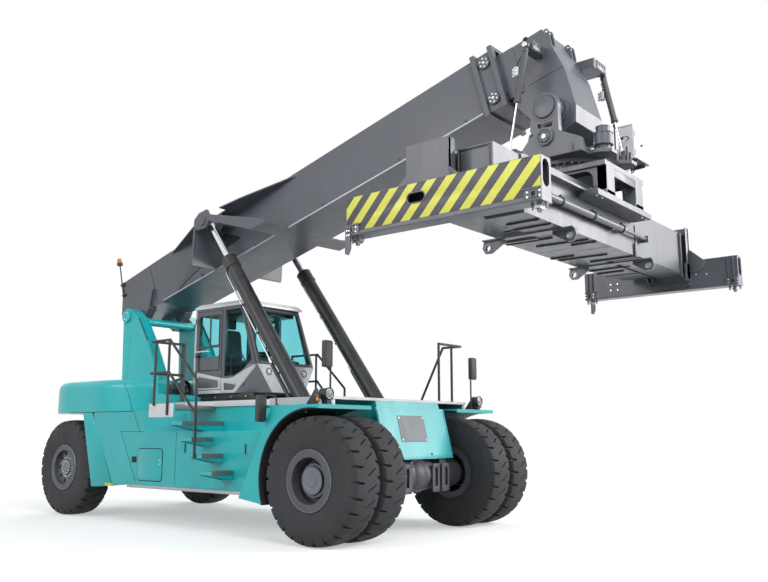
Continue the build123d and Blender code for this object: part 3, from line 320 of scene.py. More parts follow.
def box_outline(low, high):
    """A rectangle's outline from two opposite corners."""
    (a0, b0), (a1, b1) = low, high
    return [(a0, b0), (a1, b0), (a1, b1), (a0, b1)]


def circle(a, b, radius, steps=24):
    """A circle's outline."""
    return [(a + radius * cos(2 * pi * k / steps), b + radius * sin(2 * pi * k / steps))
            for k in range(steps)]


def oval(a, b, half, radius, steps=12):
    """A slot's outline, long along a."""
    right = [(a + half - radius + radius * cos(t), b + radius * sin(t))
             for t in (pi * k / steps - pi / 2 for k in range(steps + 1))]
    left = [(a - half + radius - radius * cos(t), b - radius * sin(t))
            for t in (pi * k / steps - pi / 2 for k in range(steps + 1))]
    return right + left


def round_about(centre, axis, radius, count, turn=0.0):
    """Places evenly spaced on a circle about an axis."""
    across = axis.orthogonal().normalized()
    other = axis.cross(across)
    return [centre + (across * cos(a) + other * sin(a)) * radius
            for a in (turn + 2 * pi * k / count for k in range(count))]


def placed(name, data):
    """An object in the scene."""
    made = bpy.data.objects.new(name, data)
    bpy.context.scene.collection.objects.link(made)
    return made


def riding(data, name, body):
    """An object in the scene that rides on a body."""
    made = placed(name, data)
    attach(made, body)
    return made


SHARP = radians(32)


class Piece:
    """One visible piece: shapes gathered in a mesh, each in its material, riding on a body."""

    def __init__(self, name, body, slot, material, sign=1):
        self.name, self.body, self.slot, self.sign = name, body, slot, sign
        self.mesh = bmesh.new()
        self.materials = []
        self.use(material)

    def use(self, material):
        """What is added from here on is in this material."""
        if material not in self.materials:
            self.materials.append(material)
        self.index = self.materials.index(material)
        return self

    def place(self, point):
        """A vector as it is, or (ahead, y, z) with y counted outwards on the piece's side."""
        return point if isinstance(point, Vector) else at(point[0], self.sign * point[1], point[2])

    def face(self, points):
        made = self.mesh.faces.new(points)
        made.material_index = self.index
        made.smooth = True
        return made

    def soften(self, faces, width):
        """Bevels the sharp edges of these faces."""
        if width <= 0:
            return
        edges = {edge for made in faces for edge in made.edges
                 if len(edge.link_faces) == 2 and edge.calc_face_angle(0) > radians(25)}
        bmesh.ops.bevel(self.mesh, geom=list(edges), offset=width, offset_type="OFFSET", segments=2,
                        profile=0.5, affect="EDGES", clamp_overlap=True, material=-1)

    def prism(self, points, depth, bevel=0.004):
        """A polygon of points pushed along a vector."""
        low = [self.place(p) for p in points]
        return self.loft(low, [p + Vector(depth) for p in low], bevel)

    def block(self, low, high, bevel=0.004):
        """A block between two opposite corners."""
        (x0, y0, z0), (x1, y1, z1) = low, high
        corners = [Vector((x, y, z0)) for x, y in box_outline((x0, y0), (x1, y1))]
        return self.prism(corners, (0, 0, z1 - z0), bevel)

    def part(self, ahead, y, z, bevel=0.004):
        """A block between two x ahead, two y on the piece's side and two z, each pair in either order."""
        (x0, x1), (y0, y1), (z0, z1) = sorted(ahead), sorted(self.sign * place for place in y), sorted(z)
        return self.block((AXLE + x0, y0, z0), (AXLE + x1, y1, z1), bevel)

    def lathe(self, origin, axis, profile, sides=32):
        """A body turned about an axis from (distance, radius) points."""
        origin, axis = self.place(origin), Vector(axis).normalized()
        rows = []
        for distance, radius in profile:
            centre = origin + axis * distance
            places = round_about(centre, axis, radius, sides) if radius > 1e-6 else [centre]
            rows.append([self.mesh.verts.new(place) for place in places])
        for low, high in zip(rows, rows[1:]):
            for k in range(sides):
                after = (k + 1) % sides
                ring = [low[k % len(low)], low[after % len(low)], high[after % len(high)],
                        high[k % len(high)]]
                ring = [v for index, v in enumerate(ring) if v not in ring[:index]]
                if len(ring) > 2:
                    self.face(ring)
        return self

    def rod(self, start, end, radius, bevel=0.003, sides=24):
        """A round bar with softened ends."""
        start, end = self.place(start), self.place(end)
        length = (end - start).length
        b = min(bevel, radius * 0.4, length * 0.3)
        return self.lathe(start, end - start, [(0, 0), (0, radius - b), (b, radius), (length - b, radius),
                                               (length, radius - b), (length, 0)], sides)

    def bolt(self, place, axis, radius=0.012, height=0.010):
        """A washer with a hexagon head."""
        axis = Vector(axis).normalized()
        self.lathe(place, axis, [(0, radius * 1.35), (height * 0.25, radius * 1.35), (height * 0.25, 0)], 16)
        return self.lathe(place, axis, [(height * 0.2, radius), (height * 0.85, radius),
                                        (height, radius * 0.85), (height, 0)], 6)

    def bolts(self, places, axis, radius=0.012, height=0.010):
        for place in places:
            self.bolt(place, axis, radius, height)
        return self

    def ring(self, centre, axis, circle_radius, count, radius=0.012, height=0.010, turn=0.0):
        axis = Vector(axis).normalized()
        return self.bolts(round_about(self.place(centre), axis, circle_radius, count, turn), axis, radius,
                          height)

    def pipe(self, points, radius, bend=0.06, sides=12):
        """A tube along straight runs with rounded bends."""
        points = [self.place(p) for p in points]
        line = [points[0]]
        for before, here, after in zip(points, points[1:], points[2:]):
            arm = min(bend, (before - here).length * 0.49, (after - here).length * 0.49)
            start, end = here + (before - here).normalized() * arm, here + (after - here).normalized() * arm
            for step in range(6):
                t = step / 5
                line.append(start * (1 - t) ** 2 + here * 2 * t * (1 - t) + end * t ** 2)
        line.append(points[-1])
        rows = []
        across = None
        for index, place in enumerate(line):
            ahead = line[min(index + 1, len(line) - 1)] - line[max(index - 1, 0)]
            ahead.normalize()
            across = ahead.orthogonal() if across is None else across - ahead * across.dot(ahead)
            across.normalize()
            other = ahead.cross(across)
            rows.append([self.mesh.verts.new(place + (across * cos(a) + other * sin(a)) * radius)
                         for a in (2 * pi * k / sides for k in range(sides))])
        for low, high in zip(rows, rows[1:]):
            for k in range(sides):
                after = (k + 1) % sides
                self.face((low[k], low[after], high[after], high[k]))
        self.face(list(reversed(rows[0])))
        self.face(rows[-1])
        return self

    def sheet(self, outline, holes, origin, right, up, thick, bevel=0.0015):
        """A plate with holes: (a, b) outlines in a plane, thick along right x up."""
        curve = bpy.data.curves.new("outline", "CURVE")
        curve.dimensions, curve.fill_mode = "2D", "BOTH"
        curve.extrude = thick / 2 - bevel
        curve.bevel_depth, curve.bevel_resolution, curve.offset = bevel, 1, -bevel
        for points in [outline] + list(holes):
            spline = curve.splines.new("POLY")
            spline.points.add(len(points) - 1)
            for target, point in zip(spline.points, points):
                target.co = (point[0], point[1], 0, 1)
            spline.use_cyclic_u = True
        holder = bpy.data.objects.new("outline", curve)
        mesh = bpy.data.meshes.new_from_object(holder)
        right, up = Vector(right).normalized(), Vector(up).normalized()
        normal = right.cross(up)
        matrix = Matrix((right, up, normal)).transposed().to_4x4()
        matrix.translation = Vector(origin) + normal * thick / 2
        mesh.transform(matrix)
        known = len(self.mesh.faces)
        self.mesh.from_mesh(mesh)
        self.mesh.faces.ensure_lookup_table()
        for made in self.mesh.faces[known:]:
            made.material_index, made.smooth = self.index, True
        bpy.data.objects.remove(holder)
        bpy.data.curves.remove(curve)
        bpy.data.meshes.remove(mesh)
        return self

    def loft(self, first, second, bevel=0.004):
        """A body between two polygons with as many corners."""
        low = [self.mesh.verts.new(self.place(p)) for p in first]
        high = [self.mesh.verts.new(self.place(p)) for p in second]
        faces = [self.face(low), self.face(list(reversed(high)))]
        for index in range(len(low)):
            after = (index + 1) % len(low)
            faces.append(self.face((low[after], low[index], high[index], high[after])))
        bmesh.ops.recalc_face_normals(self.mesh, faces=faces)
        self.soften(faces, bevel)
        return self

    def done(self):
        """The gathered mesh as an object."""
        bmesh.ops.remove_doubles(self.mesh, verts=self.mesh.verts, dist=1e-6)
        bmesh.ops.recalc_face_normals(self.mesh, faces=self.mesh.faces)
        data = bpy.data.meshes.new(self.name)
        self.mesh.to_mesh(data)
        self.mesh.free()
        data.set_sharp_from_angle(angle=SHARP)
        for material in self.materials:
            data.materials.append(M[material])
        return riding(data, self.name, self.body)


# ---------------------------------------------------------------- tyres
PITCHES = 26
GROOVE = 0.036
COLUMNS = (-0.05, -0.038, 0.038, 0.05, 0.15, 0.25, 0.35, 0.45, 0.462, 0.538, 0.55, 0.65, 0.75, 0.85)
SIDEWALL = ((0.205, 0.319), (0.2135, 0.330), (0.216, 0.352), (0.222, 0.375), (0.2225, 0.392), (0.228, 0.410),
            (0.236, 0.44), (0.2425, 0.49), (0.245, 0.55), (0.2445, 0.62), (0.2415, 0.68), (0.2395, 0.690),
            (0.236, 0.700), (0.231, 0.735), (0.224, 0.765), (0.216, 0.782))
TREAD_HALF = 0.205
TREAD_ROWS = (-1.0, -0.93, -0.75, -0.48, -0.455, -0.3, -0.15, -0.125, 0.1, 0.35, 0.60, 0.625, 0.70, 0.725,
              0.86, 0.95, 1.0)
LEAN = ((-1.0, 0.0), (-0.5, -0.04), (-0.14, -0.08), (0.61, 0.35), (1.0, 0.23))


def lean_of(s):
    """How far the tread's pattern has turned at s across it, in pitches."""
    for (s0, v0), (s1, v1) in zip(LEAN, LEAN[1:]):
        if s <= s1:
            return v0 + (v1 - v0) * (max(s, s0) - s0) / (s1 - s0)
    return LEAN[-1][1]


def tread_depth(s, phase):
    """1 in a groove, 0 on a block."""
    shoulder = abs(phase) < 0.04 and (s < -0.47 or s > 0.71)
    slit = abs(phase - 0.5) < 0.04 and -0.14 < s < 0.61
    return 1.0 if shoulder or slit else 0.0


def groove_spread(s):
    """Grooves widen towards the shoulders."""
    return 2.4 if s is None else 1.0 + 2.8 * max(0.0, abs(s) - 0.5)


def tyre_mesh():
    """Points and faces of one tyre about the origin, its axle along Y."""
    rows = [(-y, r, None) for y, r in SIDEWALL]
    rows += [(TREAD_HALF * s, TYRE_RADIUS - 0.014 * abs(s) ** 3 - 0.004 * s * s, s) for s in TREAD_ROWS]
    rows += [(y, r, None) for y, r in reversed(SIDEWALL)]
    first, last = len(SIDEWALL), len(SIDEWALL) + len(TREAD_ROWS) - 1
    points, faces = [], []
    for index, (y, r, s) in enumerate(rows):
        shift = lean_of(s if s is not None else (-1.0 if index < first else 1.0))
        beyond = max(first - index, index - last)
        for pitch in range(PITCHES):
            for phase in COLUMNS:
                if s is None:
                    depth = 0.0
                    if beyond <= 4 and abs(phase) < 0.04:
                        depth = (0.95, 0.75, 0.45, 0.15)[beyond - 1] * (1.0 if index < first else 0.8)
                else:
                    depth = tread_depth(s, phase)
                turn = phase * groove_spread(s) if abs(phase) < 0.06 else phase
                angle = 2 * pi * (pitch + turn + shift) / PITCHES
                radius = r - GROOVE * depth
                points.append((radius * cos(angle), y * (1 - 0.02 * depth * (s is None)),
                               radius * sin(angle)))
    count = PITCHES * len(COLUMNS)
    for row in range(len(rows)):
        below = (row + 1) % len(rows)
        for k in range(count):
            after = (k + 1) % count
            faces.append((row * count + k, row * count + after, below * count + after, below * count + k))
    return points, faces


tyre_points, tyre_faces = tyre_mesh()


def tyre_piece(name, body, node, centres):
    """One or two treaded tyres in the place of a plain CAD node."""
    points, faces = [], []
    for centre in centres:
        base = len(points)
        points += [(x + centre.x, y + centre.y, z + centre.z) for x, y, z in tyre_points]
        faces += [tuple(base + v for v in made) for made in tyre_faces]
    data = bpy.data.meshes.new(name)
    data.from_pydata(points, [], faces)
    data.flip_normals()
    data.shade_smooth()
    data.set_sharp_from_angle(angle=radians(38))
    data.materials.append(M["rubber"])
    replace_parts(riding(data, name, body), node)


for side, sign in SIDES.items():
    tyre_piece(f"front_treads_{side}", f"front_wheels_{side}", f"front_tyres_{side}",
               [at(0, sign * y, TYRE_RADIUS) for y in TWIN_TYRES])
    tyre_piece(f"rear_tread_{side}", f"rear_wheel_{side}", f"rear_tyre_{side}",
               [at(-WHEELBASE, sign * REAR_TYRE, TYRE_RADIUS)])

# ---------------------------------------------------------------- rims and hubs
for side, sign in SIDES.items():
    out = FACE[side]
    rim = Piece(f"front_rim_trim_{side}", f"front_wheels_{side}", "dark_paint", "rim")
    hub = at(0, 0, TYRE_RADIUS)
    flange_y, hub_y, cap_y = 2.049, 1.9375, 1.9775
    edge = hub + Vector((0, sign * (flange_y - 0.03), 0))
    rim.lathe(edge, out, [(0, 0.345), (0.012, 0.388), (0.028, 0.390), (0.034, 0.382), (0.028, 0.374)], 64)
    rim.lathe(edge, out, [(0.012, 0.356), (0.024, 0.352), (0.026, 0.346), (0.024, 0.338), (0.016, 0.334)], 64)
    rim.lathe(hub + Vector((0, sign * (hub_y - 0.001), 0)), out,
              [(0, 0.215), (0.012, 0.213), (0.012, 0.182), (0.0, 0.180)], 64)
    rim.lathe(hub + Vector((0, sign * (cap_y - 0.001), 0)), out,
              [(0, 0.174), (0.006, 0.170), (0.006, 0.120), (0.002, 0.116), (0.002, 0.078), (0.010, 0.074),
               (0.010, 0.046), (0.004, 0.042), (0.004, 0)], 48)
    rim.ring(hub + Vector((0, sign * (hub_y + 0.010), 0)), out, 0.198, 30, 0.0085, 0.016)
    rim.use("steel").ring(hub + Vector((0, sign * (flange_y - 0.193), 0)), out, 0.243, 36, 0.0115, 0.030, 0.1)
    rim.use("black").lathe(edge, out, [(0.028, 0.374), (0.014, 0.370), (0.012, 0.356)], 64)
    rim.lathe(edge, out, [(0.016, 0.334), (-0.02, 0.322), (-0.10, 0.318), (-0.16, 0.300), (-0.165, 0.262),
                          (-0.17, 0.2155)], 64)
    rim.done()
    rim = Piece(f"rear_rim_trim_{side}", f"rear_wheel_{side}", "dark_paint", "rim")
    hub = at(-WHEELBASE, 0, TYRE_RADIUS)
    outer = REAR_TYRE + 0.213 + 0.026
    edge = hub + Vector((0, sign * (outer - 0.03), 0))
    rim.lathe(edge, out, [(0, 0.345), (0.012, 0.384), (0.028, 0.386), (0.034, 0.378), (0.028, 0.368),
                          (0.020, 0.362), (0.026, 0.356), (0.026, 0.334), (0.016, 0.322), (-0.03, 0.3185)],
              64)
    face = REAR_TYRE + 0.095 + 0.015
    rim.lathe(hub + Vector((0, sign * face, 0)), out,
              [(0.075, 0.3175), (0.062, 0.312), (0.045, 0.290), (0.045, 0.196), (0.052, 0.188),
               (0.052, 0.142), (0.070, 0.134)], 64)
    rim.use("black").lathe(edge, out, [(0.016, 0.322), (0.012, 0.3185), (-0.06, 0.3175)], 64)
    # Black discs for the rear rim's ten holes: painted shade inside the holes.
    rim.use("void")
    for k in range(10):
        a = 2 * pi * k / 10
        hole = hub + Vector((0.243 * cos(a), sign * (face + 0.0446), 0.243 * sin(a)))
        rim.lathe(hole, out, [(0, 0.037), (0.002, 0.036), (0.002, 0)], 24)
    rim.use("rim").lathe(hub + Vector((0, sign * (face + 0.079), 0)), out,
                         [(0, 0.132), (0.008, 0.126), (0.008, 0.09), (0.016, 0.084), (0.016, 0.03),
                          (0.012, 0.026), (0.012, 0)], 40)
    rim.use("bright").ring(hub + Vector((0, sign * (face + 0.052), 0)), out, 0.161, 20, 0.011, 0.024, 0.16)
    rim.ring(hub + Vector((0, sign * (face + 0.086), 0)), out, 0.108, 10, 0.008, 0.010)
    rim.done()

# ---------------------------------------------------------------- spreader arms
BEAM_OUT, BEAM_IN = 3.0295, 2.8395
ARM_INSIDE, ARM_HALF, FLANGE_HALF = 0.1997, 0.2197, 0.2797
LOCK_SPACING = 1.1295


def facing(piece, outline, y, thick, bevel=0.0015, holes=(), way=1):
    """A plate at y that looks outwards, or inwards where way is -1, its outlines in (ahead, z)."""
    look = piece.sign * way
    flat = [[(-look * (AXLE + a), b) for a, b in points] for points in [outline] + list(holes)]
    return piece.sheet(flat[0], flat[1:], (0, piece.sign * y, 0), (-look, 0, 0), UP, thick, bevel)


def rect(a0, a1, b0, b1, radius=0.0):
    """A rectangle's outline, with round corners where a radius is given."""
    outline = box_outline((a0, b0), (a1, b1))
    return rounded(outline, radius) if radius else outline


SLOT = (2.453, 3.82)
for side, sign in SIDES.items():
    body = f"spreader_arm_{side}"
    facing(Piece(f"hazard_panel_{side}", body, "boom_paint", "stripes", sign),
           [(1.68, 3.592), (3.72, 3.592), (3.72, 3.675), (3.905, 3.675), (3.905, 3.975), (1.495, 3.975),
            (1.495, 3.675), (1.68, 3.675)], BEAM_OUT, 0.003, 0.0008, holes=[oval(*SLOT, 0.112, 0.051)]).done()
    trim = Piece(f"end_beam_trim_{side}", body, "boom_paint", "grey", sign)
    facing(trim, oval(*SLOT, 0.124, 0.063), BEAM_OUT, 0.007, holes=[oval(*SLOT, 0.111, 0.050)])
    for ys in ((BEAM_OUT, BEAM_OUT + 0.014), (BEAM_IN - 0.014, BEAM_IN)):
        trim.part((1.68, 3.72), ys, (3.541, 3.556), 0.002)
    for end in (-1, 1):
        x = SPREADER + end * LOCK_SPACING
        span = (SPREADER + end * 1.022, SPREADER + end * 1.208)
        ys = (BEAM_OUT + 0.012, BEAM_IN - 0.012)
        trim.part(span, ys, (3.543, 3.662), 0.004)
        ys = (BEAM_OUT + 0.020, BEAM_IN - 0.020)
        span = (SPREADER + end * 1.006, SPREADER + end * 1.2095)
        trim.part(span, ys, (3.650, 3.666), 0.003)
        trim.part(span, ys, (3.541, 3.556), 0.003)
        for face, way in ((BEAM_OUT + 0.012, 1), (BEAM_IN - 0.012, -1)):
            facing(trim.use("grey"), rect(x - 0.045, x + 0.045, 3.570, 3.638, 0.008), face, 0.010,
                   holes=[rect(x - 0.022, x + 0.022, 3.582, 3.626, 0.006)], way=way)
            # A black rectangle inside each lock plate's opening: painted shade in the opening.
            facing(trim.use("void"), rect(x - 0.030, x + 0.030, 3.576, 3.632), face, 0.003, way=way)
            trim.use("bright").bolts([(x + dx, face, z) for dx in (-0.066, 0.066) for z in (3.580, 3.628)],
                                     (0, sign * way, 0), 0.008, 0.008)
        trim.use("steel")
        y = 2.9265
        for dx in (-0.075, 0.075):
            trim.rod((x + dx, y, 3.545), (x + dx, y, 3.505), 0.016, 0.004, 16)
            trim.rod((x + dx, y, 3.507), (x + dx, y, 3.480), 0.010, 0.004, 12)
        trim.use("grey")
        for rib in (SPREADER + end * 1.150, SPREADER + end * 1.075):
            trim.part((rib - 0.010, rib + 0.010), (BEAM_IN - 0.030, BEAM_IN), (3.666, 3.968), 0.003)
    trim.use("bright")
    guide = [(x, BEAM_OUT + 0.022, z) for z in (3.60, 3.55) for x in (1.515, 1.545)]
    trim.bolts(guide, (0, sign, 0), 0.008, 0.007)
    for x, z in ((1.936, 3.756), (2.052, 3.756), (1.936, 3.661), (2.052, 3.661), (3.296, 3.762),
                 (3.456, 3.750)):
        trim.bolt((x, BEAM_IN, z), (0, -sign, 0), 0.010, 0.006)
    trim.use("grey")
    mid = SPREADER + sign * 0.24
    # haunch under the arm, gussets beside its flange and the flange's edge bars
    for d in (-0.33, 0.22):
        x = mid + sign * d
        trim.prism([(x - 0.006, BEAM_IN, 3.640), (x - 0.006, BEAM_IN, 3.760), (x - 0.006, 2.60, 3.760),
                    (x - 0.006, 2.60, 3.740)], (0.012, 0, 0), 0.003)
    trim.part((mid - sign * 0.33, mid + sign * 0.22), (BEAM_IN - 0.05, BEAM_IN), (3.634, 3.646), 0.003)
    for way in (-1, 1):
        edge = mid + sign * way * FLANGE_HALF
        plate = [(edge, 4.156), (edge + sign * way * 0.235, 3.950), (edge + sign * way * 0.235, 3.880),
                 (edge + sign * way * 0.150, 3.812), (edge, 3.783)]
        facing(trim, rounded(plate, 0.03), BEAM_IN - 0.014, 0.014, 0.002)
        ys = (2.715, BEAM_IN)
        trim.part((edge - sign * way * 0.012, edge), ys, (3.70, 4.478), 0.003)
        rib = mid + sign * way * ARM_HALF
        trim.part((rib, rib + sign * way * 0.034), (2.565, 2.585), (3.765, 4.372), 0.003)
        trim.use("void").part((rib, rib + sign * way * 0.004), (2.60, 2.795), (3.80, 4.352), 0.001)
        trim.use("grey")
    # the tail's end is closed by a set-back panel
    tail = -2.64
    low, high = mid - ARM_INSIDE, mid + ARM_INSIDE
    trim.use("black").part((low, high), (tail, tail + 0.060), (3.781, 4.359), 0.0)
    facing(trim.use("grey"), rect(low + 0.022, high - 0.022, 3.803, 4.337, 0.012), tail, 0.008, way=-1)
    facing(trim, rect(mid - ARM_HALF, mid + ARM_HALF, 3.7605, 4.3795), tail, 0.012, 0.002,
           [rect(low, high, 3.781, 4.359)], -1)
    trim.done()

# sensor box on the right arm
sensor = Piece("arm_sensor_box", "spreader_arm_right", "boom_paint", "grey")
sensor.part((2.6797, 2.735), (-2.60, -2.44), (4.10, 4.22), 0.004)
sensor.part((2.735, 2.93), (-2.62, -2.42), (4.07, 4.25), 0.008)
sensor.use("plate").part((2.929, 2.938), (-2.605, -2.435), (4.085, 4.235), 0.003)
sensor.use("bright").bolts([(2.937, y, z) for y in (-2.59, -2.45) for z in (4.10, 4.22)], AHEAD, 0.007, 0.006)
sensor.use("black").pipe([(2.84, -2.52, 4.07), (2.84, -2.52, 4.0), (2.70, -2.50, 3.95), (2.683, -2.30, 3.95)],
                         0.012)
sensor.done()

# ---------------------------------------------------------------- spreader frame
frame_trim = Piece("spreader_frame_trim", "spreader", "boom_paint", "grey")


def turned(x, y, z, flip):
    """A place on the spreader, or with a flip of -1 the same place half a turn round."""
    return at(SPREADER + flip * x, flip * y, z)


def slab(flip, x, y, z, bevel=0.003):
    """A block on the spreader's frame, or half a turn round."""
    frame_trim.part([SPREADER + flip * place for place in x], [flip * place for place in y], z, bevel)


for flip in (1, -1):
    frame_trim.use("grey")
    for y in (-2.098, 0.868):
        slab(flip, (0.004, 0.494), (y, y + 0.058), (3.727, 3.741))
        slab(flip, (0.478, 0.492), (y, y + 0.058), (3.729, 4.160))
        slab(flip, (0.004, 0.494), (y, y + 0.058), (4.399, 4.412))
    for y in (-1.95, -1.80):
        frame_trim.prism([turned(0.479, y - 0.006, 4.250, flip), turned(0.572, y - 0.006, 4.250, flip),
                          turned(0.479, y - 0.006, 4.170, flip)], (0, flip * 0.012, 0), 0.002)
    frame_trim.use("black")
    for y in (-1.358, -0.537, 0.300):
        frame_trim.lathe(turned(0.55, y, 3.995, flip), ACROSS,
                         [(-0.016, 0.045), (-0.016, 0.057), (0.016, 0.057), (0.016, 0.045)], 28)
        slab(flip, (0.535, 0.565), (y - 0.014, y + 0.014), (4.045, 4.075), 0.003)
        slab(flip, (0.478, 0.545), (y - 0.012, y + 0.012), (3.985, 4.005), 0.003)
    frame_trim.use("bright").lathe(turned(0.55, 0.340, 3.995, flip), (0, flip, 0),
                                   [(0, 0.0455), (0, 0.050), (-0.030, 0.050), (-0.030, 0.0455)], 28)
    # thin black pipes and bars under the boxes
    frame_trim.use("black")
    for points in (((-0.44, 0.46), (0.25, 0.50)), ((-0.15, 0.82), (0.49, 0.82)),
                   ((0.13, -0.30), (0.478, -0.30)), ((-0.16, -1.45), (0.47, -1.45)),
                   ((0.05, -1.72), (0.47, -1.72))):
        (x0, y0), (x1, y1) = points
        start, end = turned(x0, y0, 3.731, flip), turned(x1, y1, 3.731, flip)
        frame_trim.rod(start, end, 0.011, 0.003, 10)
        frame_trim.bolts([start.lerp(end, t) + Vector((0, 0, -0.009)) for t in (0.12, 0.88)], -UP, 0.010,
                         0.008)
    frame_trim.pipe([turned(0.46, 0.82, 3.731, flip), turned(0.492, 0.82, 3.733, flip),
                     turned(0.493, 0.82, 3.90, flip)], 0.011, 0.03, 10)
    frame_trim.use("void")
    for y in (-1.72, -0.92, 0.10):
        slab(flip, (0.02, 0.46), (y - 0.0025, y + 0.0025), (3.7385, 3.741), 0.0)
    frame_trim.use("steel")
    for sy in (-1, 1):
        for face in (-0.0225, 0.0225):
            way = 1 if face > 0 else -1
            frame_trim.lathe(turned(0.55, sy * 1.145 + face * 0.90, 3.64, flip), (0, way * flip, 0),
                             [(0, 0.035), (0.006, 0.036), (0.006, 0.050), (0, 0.053)], 24)
    frame_trim.use("bright")
    for y in (-1.92, -1.88, 0.04, 0.08):
        frame_trim.bolt(turned(0.50, y, 4.056, flip), UP, 0.009, 0.008)
    for step in range(9):
        frame_trim.bolt(turned(0.545, -1.8 + 0.3 * step, 4.2795, flip), UP, 0.010, 0.008)
frame_trim.done()

# ---------------------------------------------------------------- gantry
gantry = Piece("gantry_webs", "gantry", "boom_paint", "grey")
quarter = [pi / 2 * k / 6 for k in range(7)]
arch = [(3.16 + 0.11 * cos(a), 4.456 + 0.11 * sin(a)) for a in quarter]
arch += [(2.24 - 0.11 * sin(a), 4.456 + 0.11 * cos(a)) for a in quarter]
portal = [(1.952, 4.300), (1.952, 4.599), (3.448, 4.599), (3.448, 4.300),
          (3.27, 4.300)] + arch + [(2.13, 4.300)]
for sign in (-1, 1):
    gantry.sign = sign
    for y in (0.322, 0.524):
        facing(gantry, portal, y, 0.016)
for end in (-1, 1):
    x = SPREADER + end * 0.75
    for y in (-0.43, 0.43):
        gantry.part((x, x - end * 0.012), (y - 0.128, y + 0.128), (4.252, 4.30), 0.003)
    gantry.part((x - end * 0.002, x - end * 0.02), (-0.32, 0.32), (4.50, 4.60), 0.003)
    gantry.use("bright").bolts([at(x - end * 0.05, y, 4.180 - 0.0003) for y in (-0.74, -0.60, 0.60, 0.74)],
                               -UP, 0.014, 0.012)
    gantry.bolts([at(x - end * 0.05, y, 4.2497) for y in (-0.74, -0.60, 0.60, 0.74)], UP, 0.014, 0.012)
    gantry.use("grey")
gantry.lathe(at(SPREADER, 0, 4.66), UP, [(0, 0.545), (0.022, 0.541), (0.022, 0.481)], 72)
gantry.use("bright").ring(at(SPREADER, 0, 4.682), UP, 0.513, 36, 0.011, 0.014)
gantry.use("void").bolts([at(SPREADER + 0.7502, y, 4.630) for y in (-0.50, 0.50)], -AHEAD, 0.010, 0.004)
gantry.use("black").pipe([at(2.95, -0.20, 4.50), at(3.10, -0.35, 4.42), at(3.20, -0.30, 4.36),
                          at(3.25, -0.10, 4.33)], 0.018, 0.08)
gantry.pipe([at(2.85, -0.15, 4.52), at(3.02, -0.32, 4.46), at(3.14, -0.20, 4.40), at(3.20, 0.10, 4.335)],
            0.014, 0.08)
gantry.done()

# ---------------------------------------------------------------- hanger
hanger = Piece("hanger_trim", "hanger", "boom_paint", "grey")
YOKE_Y = 0.640
for side, sign in SIDES.items():
    hanger.sign = sign
    out = FACE[side]
    pin = at(SPREADER, sign * (YOKE_Y + 0.018), HANGER_Z)
    hanger.use("grey").lathe(pin, out, [(0, 0.148), (0.010, 0.144), (0.012, 0.138), (0.012, 0)], 64)
    hanger.use("black").lathe(pin, out, [(0.001, 0.1495), (0.001, 0.1535), (-0.012, 0.1535)], 64)
    hanger.use("grey").lathe((SPREADER, YOKE_Y, HANGER_Z), out,
                             [(0, 0.190), (0.006, 0.186), (0.006, 0.158), (0, 0.154)], 64)
    low = at(SPREADER, sign * (YOKE_Y + 0.026), 5.09)
    hanger.lathe(low, out, [(0, 0.112), (0.008, 0.108), (0.008, 0.092)], 56)
    hanger.use("black").lathe(low, out, [(0.001, 0.092), (0.001, 0.078)], 48)
    hanger.use("grey").lathe(low, out, [(0.0, 0.080), (0.016, 0.077), (0.018, 0.070), (0.018, 0.044),
                                        (0.008, 0.042), (0.008, 0)], 48)
    hanger.use("void").ring(low + Vector(out) * 0.017, out, 0.058, 4, 0.0065, 0.004, 0.3)
    hanger.use("bright").lathe(low, out, [(0.008, 0.036), (0.022, 0.034), (0.026, 0.026), (0.026, 0.014),
                                          (0.020, 0.012), (0.020, 0)], 32)
    elbow = at(2.49, sign * (YOKE_Y + 0.002), 5.165)
    hanger.rod(elbow, elbow + Vector((0, sign * 0.03, 0)), 0.026, 0.004, 20)
    hanger.rod(elbow + Vector((0, sign * 0.028, 0)), elbow + Vector((0, sign * 0.05, 0)), 0.018, 0.004, 6)
    hanger.use("grey").part((SPREADER - 0.418, SPREADER + 0.498), (YOKE_Y - 0.001, YOKE_Y + 0.014),
                            (4.812, 4.832), 0.003)
    hanger.part((3.06, 3.08), (YOKE_Y, YOKE_Y + 0.016), (4.832, 4.925), 0.003)
hanger.lathe(at(SPREADER, 0, 4.752), UP, [(0, 0.481), (0, 0.538), (0.024, 0.541), (0.058, 0.541)], 72)
hanger.use("bright").ring(at(SPREADER, 0, 4.753), -UP, 0.512, 36, 0.011, 0.012, 0.09)
motor = at(SPREADER + 0.62, -0.30, 4.855)
hanger.use("bright").ring(motor, UP, 0.108, 8, 0.010, 0.012)
hanger.use("grey")
for z, r in ((0.000, 0.098), (0.074, 0.122), (0.222, 0.122), (0.305, 0.090)):
    hanger.lathe(motor + Vector((0, 0, z)), UP, [(0, r - 0.01), (0.001, r), (0.012, r), (0.014, r - 0.01)],
                 48)
hanger.lathe(motor + Vector((0, 0, 0.315)), UP, [(0, 0.080), (0.010, 0.074), (0.012, 0.040), (0.022, 0.036),
                                                 (0.022, 0)], 40)
hanger.use("black").pipe([motor + Vector((0.02, 0.118, 0.15)), motor + Vector((0.03, 0.19, 0.16)),
                          motor + Vector((-0.1, 0.30, 0.08)), motor + Vector((-0.28, 0.34, 0.05))], 0.014,
                         0.06)
hanger.rod(at(3.20, 0.335, 4.85), at(3.20, 0.335, 5.39), 0.011)
hanger.rod(at(3.20, 0.335, 5.385), at(3.20, 0.335, 5.42), 0.019)
valve = at(SPREADER + 0.62, 0.30, 4.945)
